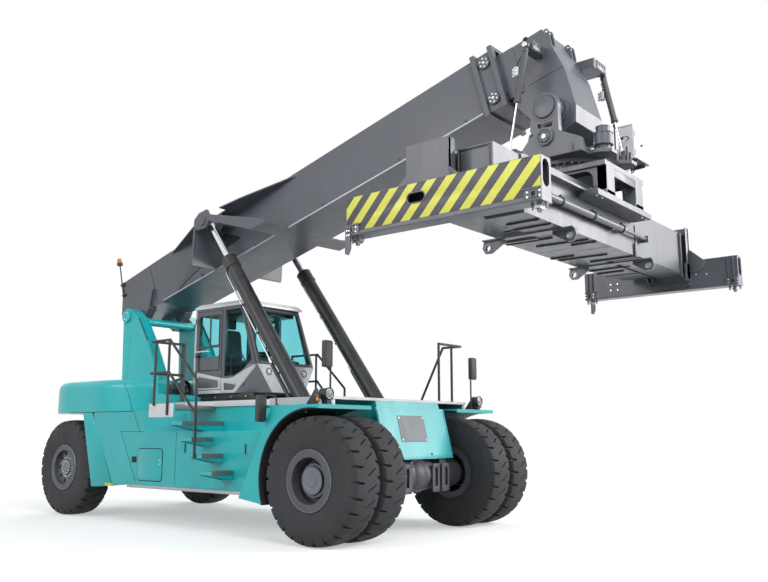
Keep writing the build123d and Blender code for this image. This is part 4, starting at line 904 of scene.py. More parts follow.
for index, (dx, dy, r, tall) in enumerate(((0.0, 0.0, 0.030, 0.07), (-0.07, 0.06, 0.018, 0.09),
                                           (0.06, 0.07, 0.018, 0.06), (-0.05, -0.07, 0.018, 0.08),
                                           (0.07, -0.05, 0.016, 0.10), (0.01, 0.10, 0.014, 0.05))):
    hanger.use("steel" if index % 2 else "dark")
    root = valve + Vector((dx, dy, -0.085))
    hanger.rod(root, root + Vector((0, 0, tall + 0.07)), r, 0.003, 18)
    hanger.bolt(root + Vector((0, 0, tall + 0.07)), UP, r * 0.8, 0.02)
hanger.use("black")
for dx, dy, bow in ((-0.05, 0.06, 0.10), (0.05, 0.07, 0.14), (0.0, 0.11, 0.18)):
    hanger.pipe([at(3.32 + dx, 0.30 + dy, 4.86), at(3.32 + dx, 0.36 + dy, 4.86 - 0.01),
                 at(3.30 + dx, 0.44 + bow, 4.92), at(3.18 + dx, 0.50 + bow, 5.02),
                 at(3.16, 0.66 + bow * 0.5, 5.03)], 0.012, 0.06)
hanger.done()

box = Piece("control_box_trim", "hanger", "box_paint", "white")
box.part((3.262, 3.270), (0.810, 1.060), (5.080, 5.520), 0.004)
box.part((3.045, 3.265), (0.785, 1.085), (5.538, 5.552), 0.004)
box.use("grey").part((2.99, 3.33), (0.72, 1.15), (PLATFORM_Z, 5.046), 0.004)
box.prism([(3.02, 0.79, PLATFORM_Z), (3.30, 0.79, PLATFORM_Z), (3.30, 0.79, 4.99), (3.10, 0.79, 4.90)],
          (0, 0.014, 0), 0.003)
box.prism([(3.02, 1.06, PLATFORM_Z), (3.30, 1.06, PLATFORM_Z), (3.30, 1.06, 4.99), (3.10, 1.06, 4.98)],
          (0, 0.014, 0), 0.003)
box.use("black")
for y in (0.84, 0.90, 0.96, 1.02):
    box.rod((3.16, y, PLATFORM_Z), (3.16, y, 4.985), 0.018, 0.003, 14)
    box.pipe([(3.16, y, 4.99), (3.16, y, 4.95), (3.10, y - 0.08, 4.90), (3.02, y - 0.20, 4.895)], 0.009, 0.04,
             8)
box.part((3.268, 3.276), (0.826, 0.836), (5.12, 5.20), 0.002)
box.part((3.268, 3.276), (0.826, 0.836), (5.38, 5.46), 0.002)
box.rod((3.268, 1.035, 5.30), (3.290, 1.035, 5.30), 0.014)
box.part((3.280, 3.292), (1.015, 1.055), (5.292, 5.308), 0.003)
box.pipe([(3.20, 0.79, 5.36), (3.20, 0.70, 5.37), (3.20, 0.60, 5.31)], 0.009, 0.04, 8)
box.rod((3.20, 0.61, 5.315), (3.20, 0.565, 5.290), 0.020)
box.done()

# ---------------------------------------------------------------- boom head and dampers
head = Piece("boom_head_trim", "boom_extension", "boom_paint", "grey")
for side, sign in SIDES.items():
    head.sign = sign
    out = FACE[side]
    face = sign * 0.375
    head.use("void").lathe(at(2.312, face, 6.616), out, [(0, 0.034), (0.0015, 0.034), (0.0015, 0)], 28)
    head.use("grey").lathe(at(2.312, face, 6.616), out,
                           [(0, 0.046), (0.004, 0.044), (0.004, 0.034), (0, 0.034)], 28)
    head.use("void")
    a, b = at(2.327, face, 5.949), at(2.841, face, 6.084)
    head.prism([a, b, b + Vector((0, 0, 0.007)), a + Vector((0, 0, 0.007))], (0, sign * 0.0015, 0), 0.0)
    head.use("grey").lathe(at(SPREADER, face, HANGER_Z), out, [(0, 0.262), (0.012, 0.258), (0.012, 0.172)],
                           64)
    head.lathe(at(SPREADER, face, HANGER_Z), out, [(0.012, 0.215), (0.06, 0.210), (0.06, 0.172)], 64)
    for u in (8.66, 8.76, 8.86, 8.96, 9.06):
        head.use("bright").bolt(on_boom(u, sign * 0.30, 0.815), BOOM_UP, 0.012, 0.010)
    head.use("grey")
    # lifting ears at the top front corner
    for y in (0.372, 0.262):
        ear = [(2.555, 6.50), (2.585, 6.675), (2.625, 6.690), (2.655, 6.660), (2.690, 6.46), (2.60, 6.40)]
        facing(head, rounded(ear, 0.02), y - 0.022, 0.022, 0.002, holes=[circle(2.622, 6.640, 0.017, 16)])
    head.use("bright").rod((2.622, 0.374, 6.640), (2.622, 0.236, 6.640), 0.0165, 0.002, 16)
for sign, top_x in ((-1, 2.51), (1, 2.89)):
    head.sign = sign
    front = top_x + 0.07
    head.use("grey").part((front - 0.001, front + 0.010), (0.40, 0.672), (6.305, 6.420), 0.003)
    head.use("void").bolts([(front + 0.010, y, 6.375) for y in (0.46, 0.55, 0.64)], AHEAD, 0.013, 0.003)
    head.use("grey")
    ear = [(top_x + dx, z) for dx, z in ((-0.07, 6.30), (-0.05, 6.41), (0.05, 6.41), (0.07, 6.30),
                                         (0.03, 6.285), (-0.03, 6.285))]
    facing(head, rounded(ear, 0.02), 0.656, 0.012, 0.002, holes=[circle(top_x, 6.35, 0.027, 20)])
    head.use("bright").lathe((top_x, 0.765, 6.35), (0, sign, 0),
                             [(-0.02, 0.0255), (0.0, 0.036), (0.008, 0.034), (0.008, 0)], 24)
head.done()


def along(start, end, distance):
    """A point at a distance from start towards end."""
    return start + (end - start).normalized() * distance


for side, sign in SIDES.items():
    top = at(SPREADER + sign * 0.19, sign * 0.725, 6.35)
    foot = at(SPREADER + sign * 0.47, sign * 0.725, 4.97)
    trim = Piece(f"damper_trim_{side}", f"damper_tube_{side}", "dark_paint", "dark")
    trim.lathe(along(top, foot, 0.735), foot - top,
               [(0, 0.0425), (0.001, 0.050), (0.022, 0.050), (0.024, 0.030)], 28)
    trim.lathe(along(top, foot, 0.07), foot - top,
               [(0, 0.030), (0.004, 0.046), (0.020, 0.046), (0.022, 0.0425)], 28)
    trim.use("white")
    block = along(top, foot, 0.335) - AHEAD * 0.075
    trim.block(block - Vector((0.034, 0.034, 0.062)), block + Vector((0.034, 0.034, 0.062)), 0.006)
    trim.block(block - Vector((0.052, 0.022, 0.030)), block - Vector((0.030, -0.022, -0.030)), 0.005)
    trim.use("bright")
    for dz in (-0.045, 0.0, 0.045):
        trim.rod(block + Vector((-0.030, 0.0, dz)), block + Vector((-0.070, 0, dz)), 0.011, 0.002, 14)
        trim.rod(block + Vector((0, -0.030, dz)), block + Vector((0, -0.052, dz)), 0.010, 0.002, 6)
    trim.use("black").pipe([block + Vector((0, 0, 0.06)), block + Vector((0.01, 0, 0.11)),
                            along(top, foot, 0.14) - AHEAD * 0.048], 0.009, 0.03, 8)
    trim.done()

# ---------------------------------------------------------------- cab
for side, sign in SIDES.items():
    face = CAB_Y
    trim = Piece(f"cab_side_trim_{side}", "chassis", "cab_paint", "silver", sign)
    inset = [(-3.345, 2.222), (-3.035, 2.178), (-3.112, 2.100), (-3.345, 2.100)]
    facing(trim, [(-3.419, CAB_FLOOR), (-3.055, CAB_FLOOR), (-2.585, 2.452), (-2.585, 2.494), (-2.822, 2.425),
                  (-3.0, 2.352), (-3.12, 2.306), (-3.26, 2.292), (-3.419, 2.304)], face, 0.010, 0.003,
           holes=[rounded(inset, 0.02)])
    facing(trim, [(-4.149, CAB_FLOOR), (-3.421, CAB_FLOOR), (-3.421, 2.109), (-4.149, 2.109)], face, 0.010,
           0.003)
    facing(trim, [(-4.148, 2.112), (-4.099, 2.112), (-4.099, 3.496), (-4.130, 3.496)], face, 0.012, 0.003)
    facing(trim.use("grey"), rounded(inset, 0.02), face, 0.005, 0.001)
    facing(trim.use("black"), [(-2.952, 3.470), (-2.930, 3.470), (-2.560, 2.520), (-2.582, 2.520)], face,
           0.006)
    trim.part((-4.12, -2.72), (0.50, 0.60), (1.930, 2.046), 0.006)
    for x in (-3.875, -2.825):
        trim.part((x - 0.082, x + 0.082), (0.373, 0.507), (1.8905, 2.0495), 0.006)
        trim.rod((x, 0.44, 1.8905), (x, 0.44, 1.935), 0.10, 0.008, 28)
    trim.pipe([(-4.05, 0.62, 1.97), (-3.4, 0.63, 1.955), (-2.95, 0.60, 1.985), (-2.80, 0.4, 1.98)], 0.013,
              0.08)
    trim.use("bright").bolts([(x, 0.601, 1.99) for x in (-4.0, -3.6, -3.2, -2.85)], (0, sign, 0), 0.009,
                             0.008)
    trim.done()
    door = Piece(f"cab_door_trim_{side}", f"cab_door_{side}", "cab_paint", "silver", sign)
    outer = DOOR_Y
    inset = [(-4.020, 2.340), (-3.490, 2.262), (-3.486, 2.146), (-4.012, 2.146)]
    facing(door, [(-4.087, 2.118), (-3.428, 2.118), (-3.428, 2.305), (-4.087, 2.427)], outer, 0.010, 0.003,
           holes=[rounded(inset, 0.03)])
    facing(door.use("grey"), rounded(inset, 0.03), outer, 0.005, 0.001)
    facing(door.use("frame"), rect(-4.028, -3.482, 2.441, 2.672, 0.012), 0.626, 0.012, 0.003)
    facing(door.use("black"), rect(-4.032, -3.478, 2.437, 3.383, 0.03), outer, 0.006,
           holes=[rect(-4.016, -3.494, 2.453, 3.367, 0.03)])
    facing(door, rect(-4.016, -3.494, 2.822, 2.852), outer, 0.005)
    facing(door, rect(-3.748, -3.722, 2.852, 3.367), outer, 0.005)
    facing(door, rect(-3.722, -3.496, 2.854, 3.365, 0.02), outer, 0.004,
           holes=[rect(-3.706, -3.512, 2.870, 3.349, 0.02)])
    facing(door, rect(-3.440, -3.428, 2.44, 3.44), outer, 0.004, 0.001)
    door.rod((-4.005, outer, 2.690), (-4.005, 0.695, 2.690), 0.013, 0.003, 16)
    door.rod((-4.005, 0.685, 2.690), (-4.005, 0.722, 2.690), 0.030, 0.008, 24)
    door.use("bright").rod((-4.075, 0.684, 2.765), (-3.720, 0.684, 2.765), 0.016, 0.004, 20)
    for x in (-4.05, -3.745):
        door.rod((x, outer, 2.765), (x, 0.684, 2.765), 0.010, 0.002, 14)
    door.done()

nose = Piece("cab_front_trim", "chassis", "cab_paint", "black")
nose.part((-4.07, -2.99), (-0.585, 0.585), (3.380, 3.492), 0.006)
for y in (-0.40, 0.40):
    axis = Vector((0.45, 0, 0.06)).normalized()
    centre = at(-2.528, y, 2.385)
    nose.use("black").lathe(centre, axis, [(-0.004, 0.062), (0.010, 0.062), (0.012, 0.056), (0.006, 0.050)],
                            36)
    nose.use("lens").lathe(centre, axis, [(0.004, 0.050), (0.010, 0.030), (0.012, 0)], 36)
slope = Vector((-0.385, 0, 0.96)).normalized()
nose.use("black")
# windscreen's seal and wiper
low, high = at(-2.552, 0, 2.530), at(-2.902, 0, 3.440)
length = (high - low).length
nose.sheet(rect(-0.592, 0.592, -0.015, length + 0.015, 0.04),
           [rect(-0.568, 0.568, 0.015, length - 0.015, 0.04)], low + Vector((0.006, 0, 0.002)), ACROSS, slope,
           0.008)
nose.rod((-2.523, -0.18, 2.505), (-2.523, -0.18, 2.545), 0.022, 0.004, 18)
nose.pipe([(-2.515, -0.18, 2.535), (-2.585, -0.34, 2.72), (-2.665, -0.46, 2.95)], 0.007, 0.03, 8)
nose.pipe([(-2.590, -0.42, 2.70), (-2.665, -0.46, 2.90), (-2.755, -0.47, 3.12)], 0.006, 0.03, 8)
# grab rail on the roof
nose.pipe([(-3.38, 0.17, 3.58), (-3.38, 0.17, 3.655), (-3.46, 0.45, 3.655), (-3.46, 0.45, 3.58)], 0.010, 0.04)
nose.done()

# the cabin seen through the glass
inside = Piece("cabin_fittings", "chassis", "trim_plastic", "plastic")
inside.prism([(-2.96, -0.50, 2.52), (-2.72, -0.50, 2.52), (-2.74, -0.50, 2.60), (-2.94, -0.50, 2.66)],
             (0, 1.0, 0), 0.015)
inside.part((-3.30, -3.26), (-0.57, -0.545), (2.14, 2.70), 0.006)
inside.pipe([(-3.34, -0.560, 2.70), (-3.03, -0.560, 2.70), (-3.04, -0.560, 2.40)], 0.011, 0.03)
inside.pipe([(-3.03, -0.560, 2.70), (-2.83, -0.560, 2.46)], 0.011, 0.03)
inside.lathe((-3.1615, 0, 2.735), (-0.03, 0, 1), [(-0.012, 0.200), (-0.004, 0.212), (0.008, 0.212),
                                                  (0.014, 0.200), (0.004, 0.190)], 48)
inside.part((-3.85, -3.45), (0.27, 0.40), (2.62, 2.72), 0.02)
inside.part((-3.85, -3.45), (-0.40, -0.27), (2.62, 2.72), 0.02)
inside.rod((-3.50, -0.34, 2.71), (-3.49, -0.34, 2.83), 0.014, 0.003, 14)
inside.rod((-3.49, -0.34, 2.82), (-3.488, -0.34, 2.87), 0.024, 0.010, 18)
inside.use("fabric")
back = [(-4.005, 3.215), (-3.965, 3.225), (-3.955, 3.40), (-3.985, 3.42), (-4.025, 3.40), (-4.035, 3.24)]
inside.prism([(x, -0.13, z) for x, z in back], (0, 0.26, 0), 0.02)
inside.done()

# ---------------------------------------------------------------- seat
def power(value, exponent):
    """A power that keeps the value's sign."""
    return abs(value) ** exponent * (1 if value >= 0 else -1)


def cushion(name, centre, axes, half, channels):
    """A crowned pad on the chassis: its sides pull in between the corners, its face has sewn channels."""
    rows, columns = 30, 72
    right, up, out = axes
    points = [centre - out * half[2] * 0.86]
    for row in range(1, rows):
        v = pi * row / rows - pi / 2
        for column in range(columns):
            u = 2 * pi * column / columns
            ring = power(cos(v), 0.42) * (1 - 0.045 * cos(2 * u) ** 2)
            a, b = half[0] * ring * power(cos(u), 0.36), half[1] * ring * power(sin(u), 0.36)
            c = half[2] * max(-0.86, power(sin(v), 0.55)
                              * (1.0 - 0.16 * (a / half[0]) ** 2 - 0.10 * (b / half[1]) ** 2))
            if c > 0:
                c -= sum(0.009 * max(0.0, 1 - abs(a - place) / 0.016) ** 2 for place in channels)
            points.append(centre + right * a + up * b + out * c)
    points.append(centre + out * half[2])
    last = len(points) - 1
    faces = [(0, 1 + (k + 1) % columns, 1 + k) for k in range(columns)]
    for row in range(rows - 2):
        base = 1 + row * columns
        faces += [(base + k, base + (k + 1) % columns, base + columns + (k + 1) % columns,
                   base + columns + k) for k in range(columns)]
    base = 1 + (rows - 2) * columns
    faces += [(base + k, base + (k + 1) % columns, last) for k in range(columns)]
    data = bpy.data.meshes.new(name)
    data.from_pydata([tuple(p) for p in points], [], faces)
    data.shade_smooth()
    data.materials.append(M["fabric"])
    made = riding(data, name, "chassis")
    return made


seat_pad = cushion("seat_cushion", at(-3.65, 0, 2.545), (AHEAD, ACROSS, UP), (0.245, 0.245, 0.058),
                   (-0.12, 0.0, 0.12))
recline = Vector((-0.085, 0, 0.72)).normalized()
cushion("seat_back_pad", at(-3.935, 0, 2.87), (ACROSS, -recline, Vector((recline.z, 0, -recline.x))),
        (0.235, 0.345, 0.052), (-0.13, 0.13))
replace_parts(seat_pad, "cab_seat")
seat = Piece("seat_base", "chassis", "trim_plastic", "plastic")
seat.prism([(-3.80, -0.15, CAB_FLOOR), (-3.50, -0.15, CAB_FLOOR), (-3.53, -0.15, 2.44), (-3.77, -0.15, 2.44)],
           (0, 0.30, 0), 0.02)
seat.part((-3.87, -3.43), (-0.22, 0.22), (2.44, 2.492), 0.012)
seat.part((-3.74, -3.56), (-0.24, 0.24), (2.060, 2.085), 0.006)
seat.prism([(-3.905, -0.20, 2.46), (-3.870, -0.20, 2.46), (-3.978, -0.20, 3.20), (-4.010, -0.20, 3.20)],
           (0, 0.40, 0), 0.010)
for k in range(4):
    seat.part((-3.79 + 0.006 * k, -3.51 - 0.006 * k), (-0.157, 0.157), (2.14 + 0.07 * k, 2.175 + 0.07 * k),
              0.008)
seat.done()

# ---------------------------------------------------------------- fan guard behind the cab
fan = Piece("fan_guard", "chassis", "trim_plastic", "black")
hub = at(-4.150, -0.895, 2.095)         # behind the open door's sweep
fan.lathe(hub, AHEAD, [(-0.045, 0.190), (-0.045, 0.222), (0.025, 0.222), (0.035, 0.214), (0.035, 0.198),
                       (0.025, 0.192)], 56)
fan.lathe(hub, AHEAD, [(-0.03, 0.0), (-0.03, 0.062), (0.02, 0.056), (0.028, 0.04), (0.028, 0)], 32)
for k in range(8):
    a = 2 * pi * k / 8
    way = Vector((0, cos(a), sin(a)))
    fan.prism([hub + way * 0.05 + Vector((-0.02, 0, 0)), hub + way * 0.196 + Vector((-0.03, 0, 0)),
               hub + way * 0.196 + Vector((-0.005, 0, 0)), hub + way * 0.05 + Vector((0.005, 0, 0))],
              way.cross(AHEAD) * 0.045, 0.003)
for r in (0.10, 0.145):
    fan.lathe(hub, AHEAD, [(0.022, r - 0.004), (0.028, r - 0.004), (0.028, r + 0.004), (0.022, r + 0.004),
                           (0.022, r - 0.004)], 48)
fan.part((-4.195, -4.120), (-1.08, -0.71), (2.046, 2.058), 0.003)
fan.done()

# ---------------------------------------------------------------- deck, steps and landing
STEP_RUN, STEP_RISE = 0.235, 0.232
FIRST_FRONT, FIRST_TOP = -2.522, 1.572
STEP_BACK = 0.2395              # from a step's front to its riser
LANDING = (-3.329, -2.731)
WEDGE_SLOPE = 0.205
for side, sign in SIDES.items():
    steps = Piece(f"step_plates_{side}", "chassis", "chassis_paint", "tread", sign)
    for index in range(4):
        front, top = FIRST_FRONT + STEP_RUN * index, FIRST_TOP - STEP_RISE * index
        inner = 1.312 if index == 0 else 1.702
        ys = (inner, 2.0885)
        steps.use("tread").part((front - 0.239, front + 0.003), ys, (top - 0.001, top + 0.003), 0.001)
        steps.part((front - 0.001, front + 0.003), ys, (top - 0.060, top + 0.003), 0.001)
        steps.use("bright")
        for row in range(3):
            for k in range(9 if index else 18):
                y = sign * (inner + 0.03 + 0.04 * k)
                steps.lathe(at(front - 0.04 - 0.08 * row, y, top + 0.003), UP,
                            [(0, 0.010), (0.002, 0.008), (0.002, 0)], 8)
        # A thin black strip sloping down inwards at the back of each tread: a painted shadow line under the tread.
        steps.use("black").prism([(front - STEP_BACK, 2.0895, top - 0.048),
                                  (front - STEP_BACK, 2.0895, top - 0.056),
                                  (front - STEP_BACK, inner, top - 0.058 - (2.09 - inner) * WEDGE_SLOPE),
                                  (front - STEP_BACK, inner, top - 0.050 - (2.09 - inner) * WEDGE_SLOPE)],
                                 (0.004, 0, 0), 0.0)
    steps.use("tread").part((-2.731, -2.727), (1.312, 2.060), (1.746, 1.812), 0.001)
    steps.part(LANDING, (1.332, 2.060), (1.809, 1.8135), 0.001)
    facing(steps.use("white"), rect(*LANDING, 1.636, 1.844, 0.012), 2.0895, 0.004, 0.001)
    facing(steps, rect(-3.44, -1.262, 1.803, 1.889), 1.3295, 0.007, 0.002)
    steps.use("bright").bolts([(x, 2.0935, z) for x in (-3.30, -2.76) for z in (1.665, 1.815)], (0, sign, 0),
                              0.009, 0.006)
    steps.done()

# ---------------------------------------------------------------- body sides
def ribbon(start, end, width):
    """A thin line's outline between two (a, b) points."""
    (a0, b0), (a1, b1) = start, end
    across = Vector((b0 - b1, a1 - a0)).normalized() * width / 2
    return [(a0 - across.x, b0 - across.y), (a1 - across.x, b1 - across.y), (a1 + across.x, b1 + across.y),
            (a0 + across.x, b0 + across.y)]


def line(piece, start, end, y, width=0.007):
    """A thin dark seam on a side face between (ahead, z) points."""
    facing(piece, ribbon(start, end, width), y, 0.0016, 0.0)


for side, sign in SIDES.items():
    face = BODY_Y
    body = Piece(f"body_side_trim_{side}", "chassis", "chassis_paint", "void", sign)
    facing(body, rect(-4.12, -3.47, 0.66, 1.17, 0.075), face, 0.0016, 0.0)
    facing(body.use("turquoise"), rect(-4.107, -3.483, 0.673, 1.157, 0.065), face, 0.007, 0.002)
    facing(body.use("bright"), rect(-3.548, -3.518, 0.915, 0.997, 0.012), face + 0.007, 0.006, 0.002)
    facing(body.use("void"), rect(-3.540, -3.526, 0.935, 0.975, 0.005), face + 0.013, 0.0015, 0.0)
    for x in (-2.925, -1.570):
        facing(body, rect(x - 0.016, x + 0.016, 1.11, 1.255, 0.014), face, 0.002, 0.0)
    body.use("turquoise")
    for x in (-2.925, -1.570):
        facing(body, rect(x - 0.030, x + 0.030, 1.096, 1.269, 0.026), face, 0.005, 0.0015,
               holes=[rect(x - 0.017, x + 0.017, 1.109, 1.256, 0.014)])
    body.use("deck").part((-4.93, -4.74), (1.703, 1.757), (0.557, 0.598), 0.003)
    facing(body.use("yellow"), rect(-4.283, -4.154, 0.942, 1.035), face, 0.0022, 0.0)
    body.use("void")
    for start, end in (((-3.154, 0.64), (-3.154, 1.425)), ((-4.618, 1.425), (-4.155, 0.645)),
                       ((-4.660, 1.428), (-4.0, 1.428)), ((-4.289, 1.748), (-4.10, 1.432)),
                       ((-1.338, 0.80), (-1.17, 1.425))):
        line(body, start, end, face)
    # facet along the rear wheel's arch
    body.use("turquoise")
    low = [(-5.322, face, 0.528), (-5.322, face + 0.055, 0.528), (-4.770, face, 0.562)]
    high = [(-5.694, face, 1.744), (-5.694, face + 0.055, 1.744), (-5.495, face, 1.744)]
    body.loft(low, high, 0.003)
    body.done()

# counterweight and hood seams
weight = Piece("counterweight_trim", "chassis", "chassis_paint", "void")
for sign in SIDES.values():
    weight.sign = sign
    line(weight, (-6.20, 1.752), (-4.302, 1.752), BODY_Y, 0.010)
    for start, end in (((-4.330, 1.755), (-4.400, 1.92)), ((-4.400, 1.92), (-4.520, 2.12)),
                       ((-4.520, 2.12), (-4.600, 2.22))):
        line(weight, start, end, BODY_Y, 0.010)
weight.done()

# ---------------------------------------------------------------- front panel and axle
PANEL_UP = Vector((-0.2532, 0, 1)).normalized()
front = Piece("front_panel_trim", "chassis", "chassis_paint", "plate")
root = at(0.2302, 0, 1.06)
front.sheet(rect(-0.366, 0.248, 0.227, 0.609, 0.03), [], root, ACROSS, PANEL_UP, 0.005)
front.use("bright")
for y in (-0.335, 0.217):
    for b in (0.258, 0.578):
        front.bolt(root + Vector((0, y, 0)) + PANEL_UP * b + Vector((0.005, 0, 0)), (0.97, 0, 0.245), 0.009,
                   0.006)
front.use("void").sheet(circle(0.283, 0.045, 0.020), [], root, ACROSS, PANEL_UP, 0.002, 0.0)
front.use("turquoise").sheet(rect(-0.79, 0.79, -0.008, 0.022), [], root, ACROSS, PANEL_UP, 0.008, 0.002)
for sign in (-1, 1):
    front.sheet(rect(*sorted((sign * 0.775, sign * 0.795)), 0.022, 0.70), [], root, ACROSS, PANEL_UP, 0.008,
                0.002)
front.done()

axle = Piece("front_axle_trim", "chassis", "dark_paint", "dark")
for sign in (-1, 1):
    axle.sign = sign
    for low, high, slot in ((0.245, 0.420, 0.340), (0.472, 0.660, 0.586)):
        ys = sorted((sign * low, sign * high))
        axle.sheet(rect(*ys, 0.57, 0.97, 0.03), [rect(sign * slot - 0.028, sign * slot + 0.028, 0.65, 0.915,
                                                      0.026)], at(0.236, 0, 0), ACROSS, UP, 0.024, 0.003)
        axle.part((0.06, 0.237), (low + 0.02, low + 0.04), (0.62, 0.94), 0.003)
        axle.part((0.06, 0.237), (high - 0.04, high - 0.02), (0.62, 0.94), 0.003)
    axle.bolts([(0.26, y, z) for y in (0.268, 0.398, 0.495, 0.637) for z in (0.60, 0.94)], AHEAD, 0.011,
               0.010)
    axle.lathe((0, 1.20, TYRE_RADIUS), (0, sign, 0),
               [(-0.20, 0.186), (-0.20, 0.205), (-0.17, 0.205), (-0.17, 0.186)], 48)
    axle.ring((0, 1.0, TYRE_RADIUS), (0, -sign, 0), 0.195, 24, 0.009, 0.010)
axle.lathe(at(0.04, 0, TYRE_RADIUS), AHEAD, [(0.10, 0.243), (0.125, 0.243), (0.13, 0.205)], 64)
axle.ring(at(0.17, 0, TYRE_RADIUS), AHEAD, 0.226, 24, 0.009, 0.010)
axle.done()

# ---------------------------------------------------------------- wheel-arch liners
ARCH = 0.911
ARCH_INSIDE = 0.903
ARCH_FRONT = 0.136
for side, sign in SIDES.items():
    liner = Piece(f"arch_liner_{side}", "chassis", "trim_plastic", "plastic", sign)
    sweep = [(cos(a), sin(a)) for a in (radians(202 - 8 * k) for k in range(15))]
    outer = [(ARCH * c, TYRE_RADIUS + ARCH * d) for c, d in sweep]
    inner = [(ARCH_INSIDE * c, TYRE_RADIUS + ARCH_INSIDE * d) for c, d in reversed(sweep)]
    front = [(ARCH_FRONT, TYRE_RADIUS + ARCH), (ARCH_FRONT, TYRE_RADIUS + ARCH_INSIDE)]
    facing(liner, outer + front + inner, 1.03, 1.0185, 0.0)
    liner.use("bright").bolts([(ARCH * c, y, TYRE_RADIUS + ARCH * d - 0.010) for c, d in sweep[6:14:3]
                               for y in (1.25, 1.85)], -UP, 0.010, 0.006)
    liner.done()

# ---------------------------------------------------------------- lamps and mirrors
for side, sign in SIDES.items():
    lamp_trim = Piece(f"headlamp_trim_{side}", "chassis", "dark_paint", "black", sign)
    centre = at(0.09, sign * 1.770, 1.908)
    lamp_trim.lathe(centre, AHEAD, [(-0.02, 0.0755), (-0.015, 0.081), (0.006, 0.081), (0.012, 0.074),
                                    (0.004, 0.064)], 40)
    lamp_trim.use("bright").lathe(centre, AHEAD, [(0.001, 0.066), (0.003, 0.060), (0.001, 0.054)], 40)
    lamp_trim.use("lens").lathe(centre, AHEAD, [(0.001, 0.060), (0.007, 0.052), (0.013, 0.030), (0.015, 0)],
                                40)
    lamp_trim.use("black").part((-0.05, 0.012), (1.855, 1.950), (1.805, 1.905), 0.006)
    lamp_trim.use("amber").part((0.012, 0.022), (1.862, 1.943), (1.812, 1.855), 0.003)
    lamp_trim.use("red").part((0.012, 0.022), (1.862, 1.943), (1.857, 1.898), 0.003)
    facing(lamp_trim.use("grey"), [(-0.26, DECK_Z), (-0.04, DECK_Z), (-0.04, 1.975), (-0.10, 1.975)], 1.84,
           0.010, 0.002)
    lamp_trim.done()

mirrors = Piece("mirror_shells", "chassis", "trim_plastic", "plastic")
for sign in SIDES.values():
    mirrors.sign = sign
    for x, y, z in ((0.0, 1.722, 2.432), (-0.795, 2.140, 1.728)):
        ys = (y - 0.0775, y + 0.0775)
        mirrors.use("plastic").part((x - 0.030, x + 0.038), ys, (z - 0.179, z + 0.179), 0.026)
        mirrors.part((x - 0.038, x - 0.020), [ys[0] + 0.006, ys[1] - 0.006], (z - 0.172, z + 0.172), 0.006)
        mirrors.use("mirror").part((x - 0.040, x - 0.037), [ys[0] + 0.014, ys[1] - 0.014],
                                   (z - 0.163, z + 0.163), 0.001)
    mirrors.use("black").pipe([(0, 1.66, 2.27), (0, 1.66, DECK_Z)], 0.013)
    mirrors.rod((0, 1.66, DECK_Z), (0, 1.66, 1.783), 0.034, 0.003, 24)
    mirrors.rod((0, 1.66, 2.29), (0.0, 1.70, 2.29), 0.018, 0.004, 16)
    mirrors.pipe([(-0.795, 2.140, 1.89), (-0.72, 2.090, 1.90), (-0.620, 2.030, 1.89),
                  (-0.620, 2.030, DECK_Z)], 0.012, 0.05)
    mirrors.rod((-0.620, 2.020, DECK_Z), (-0.620, 2.020, 1.783), 0.028, 0.003, 20)
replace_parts(mirrors.done(), "mirrors")

# ---------------------------------------------------------------- lift cylinders
LIFT_Y, PIPE_Y = 0.87, 0.92
LIFT_FOOT = at(-0.87, 0, 1.35)
LIFT_TOP = on_boom(2.74, 0, 0.70)
LIFT = (LIFT_TOP - LIFT_FOOT).normalized()
UNDER = Vector((-LIFT.z, 0, LIFT.x))


def beside(sign, distance, under, y):
    """A place along a lift cylinder, with its distance off the middle line."""
    return LIFT_FOOT + LIFT * distance + UNDER * under + Vector((0, sign * y, 0))


for side, sign in SIDES.items():
    tube = Piece(f"lift_tube_trim_{side}", f"lift_tube_{side}", "dark_paint", "bright")
    tube.pipe([beside(sign, 3.50, 0.145, LIFT_Y), beside(sign, 3.42, 0.165, 0.90),
               beside(sign, 1.58, 0.165, PIPE_Y)], 0.014, 0.04)
    tube.rod(beside(sign, 1.60, 0.165, PIPE_Y), beside(sign, 1.50, 0.165, PIPE_Y), 0.030, 0.006, 20)
    tube.use("black").pipe([beside(sign, 1.52, 0.165, PIPE_Y), beside(sign, 1.45, 0.175, PIPE_Y),
                            beside(sign, 0.60, 0.175, PIPE_Y), beside(sign, 0.40, 0.10, 0.90)], 0.030, 0.06,
                           16)
    for distance in (2.71, 2.11, 1.30, 0.80):
        start, end = beside(sign, distance, 0.110, 0.885), beside(sign, distance, 0.190, 0.925)
        tube.rod(start, end, 0.020, 0.004, 14)
    tube.lathe(beside(sign, 3.60, 0, LIFT_Y), LIFT,
               [(-0.006, 0.131), (0.006, 0.134), (0.016, 0.128), (0.016, 0.075)], 56)
    tube.lathe(beside(sign, 3.40, 0, LIFT_Y), LIFT,
               [(-0.012, 0.1205), (-0.008, 0.136), (0.010, 0.136), (0.012, 0.1305)], 56)
    tube.use("bright").ring(beside(sign, 3.616, 0, LIFT_Y), LIFT, 0.106, 12, 0.009, 0.008)
    tube.rod(beside(sign, 3.50, 0.128, LIFT_Y), beside(sign, 3.50, 0.160, LIFT_Y), 0.024, 0.005, 8)
    tube.done()

# ---------------------------------------------------------------- boom
def boom_facing(piece, outline, y, thick, bevel):
    """A plate on the boom's side, its outline in (u, w)."""
    flat = [(-piece.sign * a, b) for a, b in outline]
    return piece.sheet(flat, [], Vector((PIVOT.x, piece.sign * y, PIVOT.z)), BOOM_SIDE * -piece.sign, BOOM_UP,
                       thick, bevel)


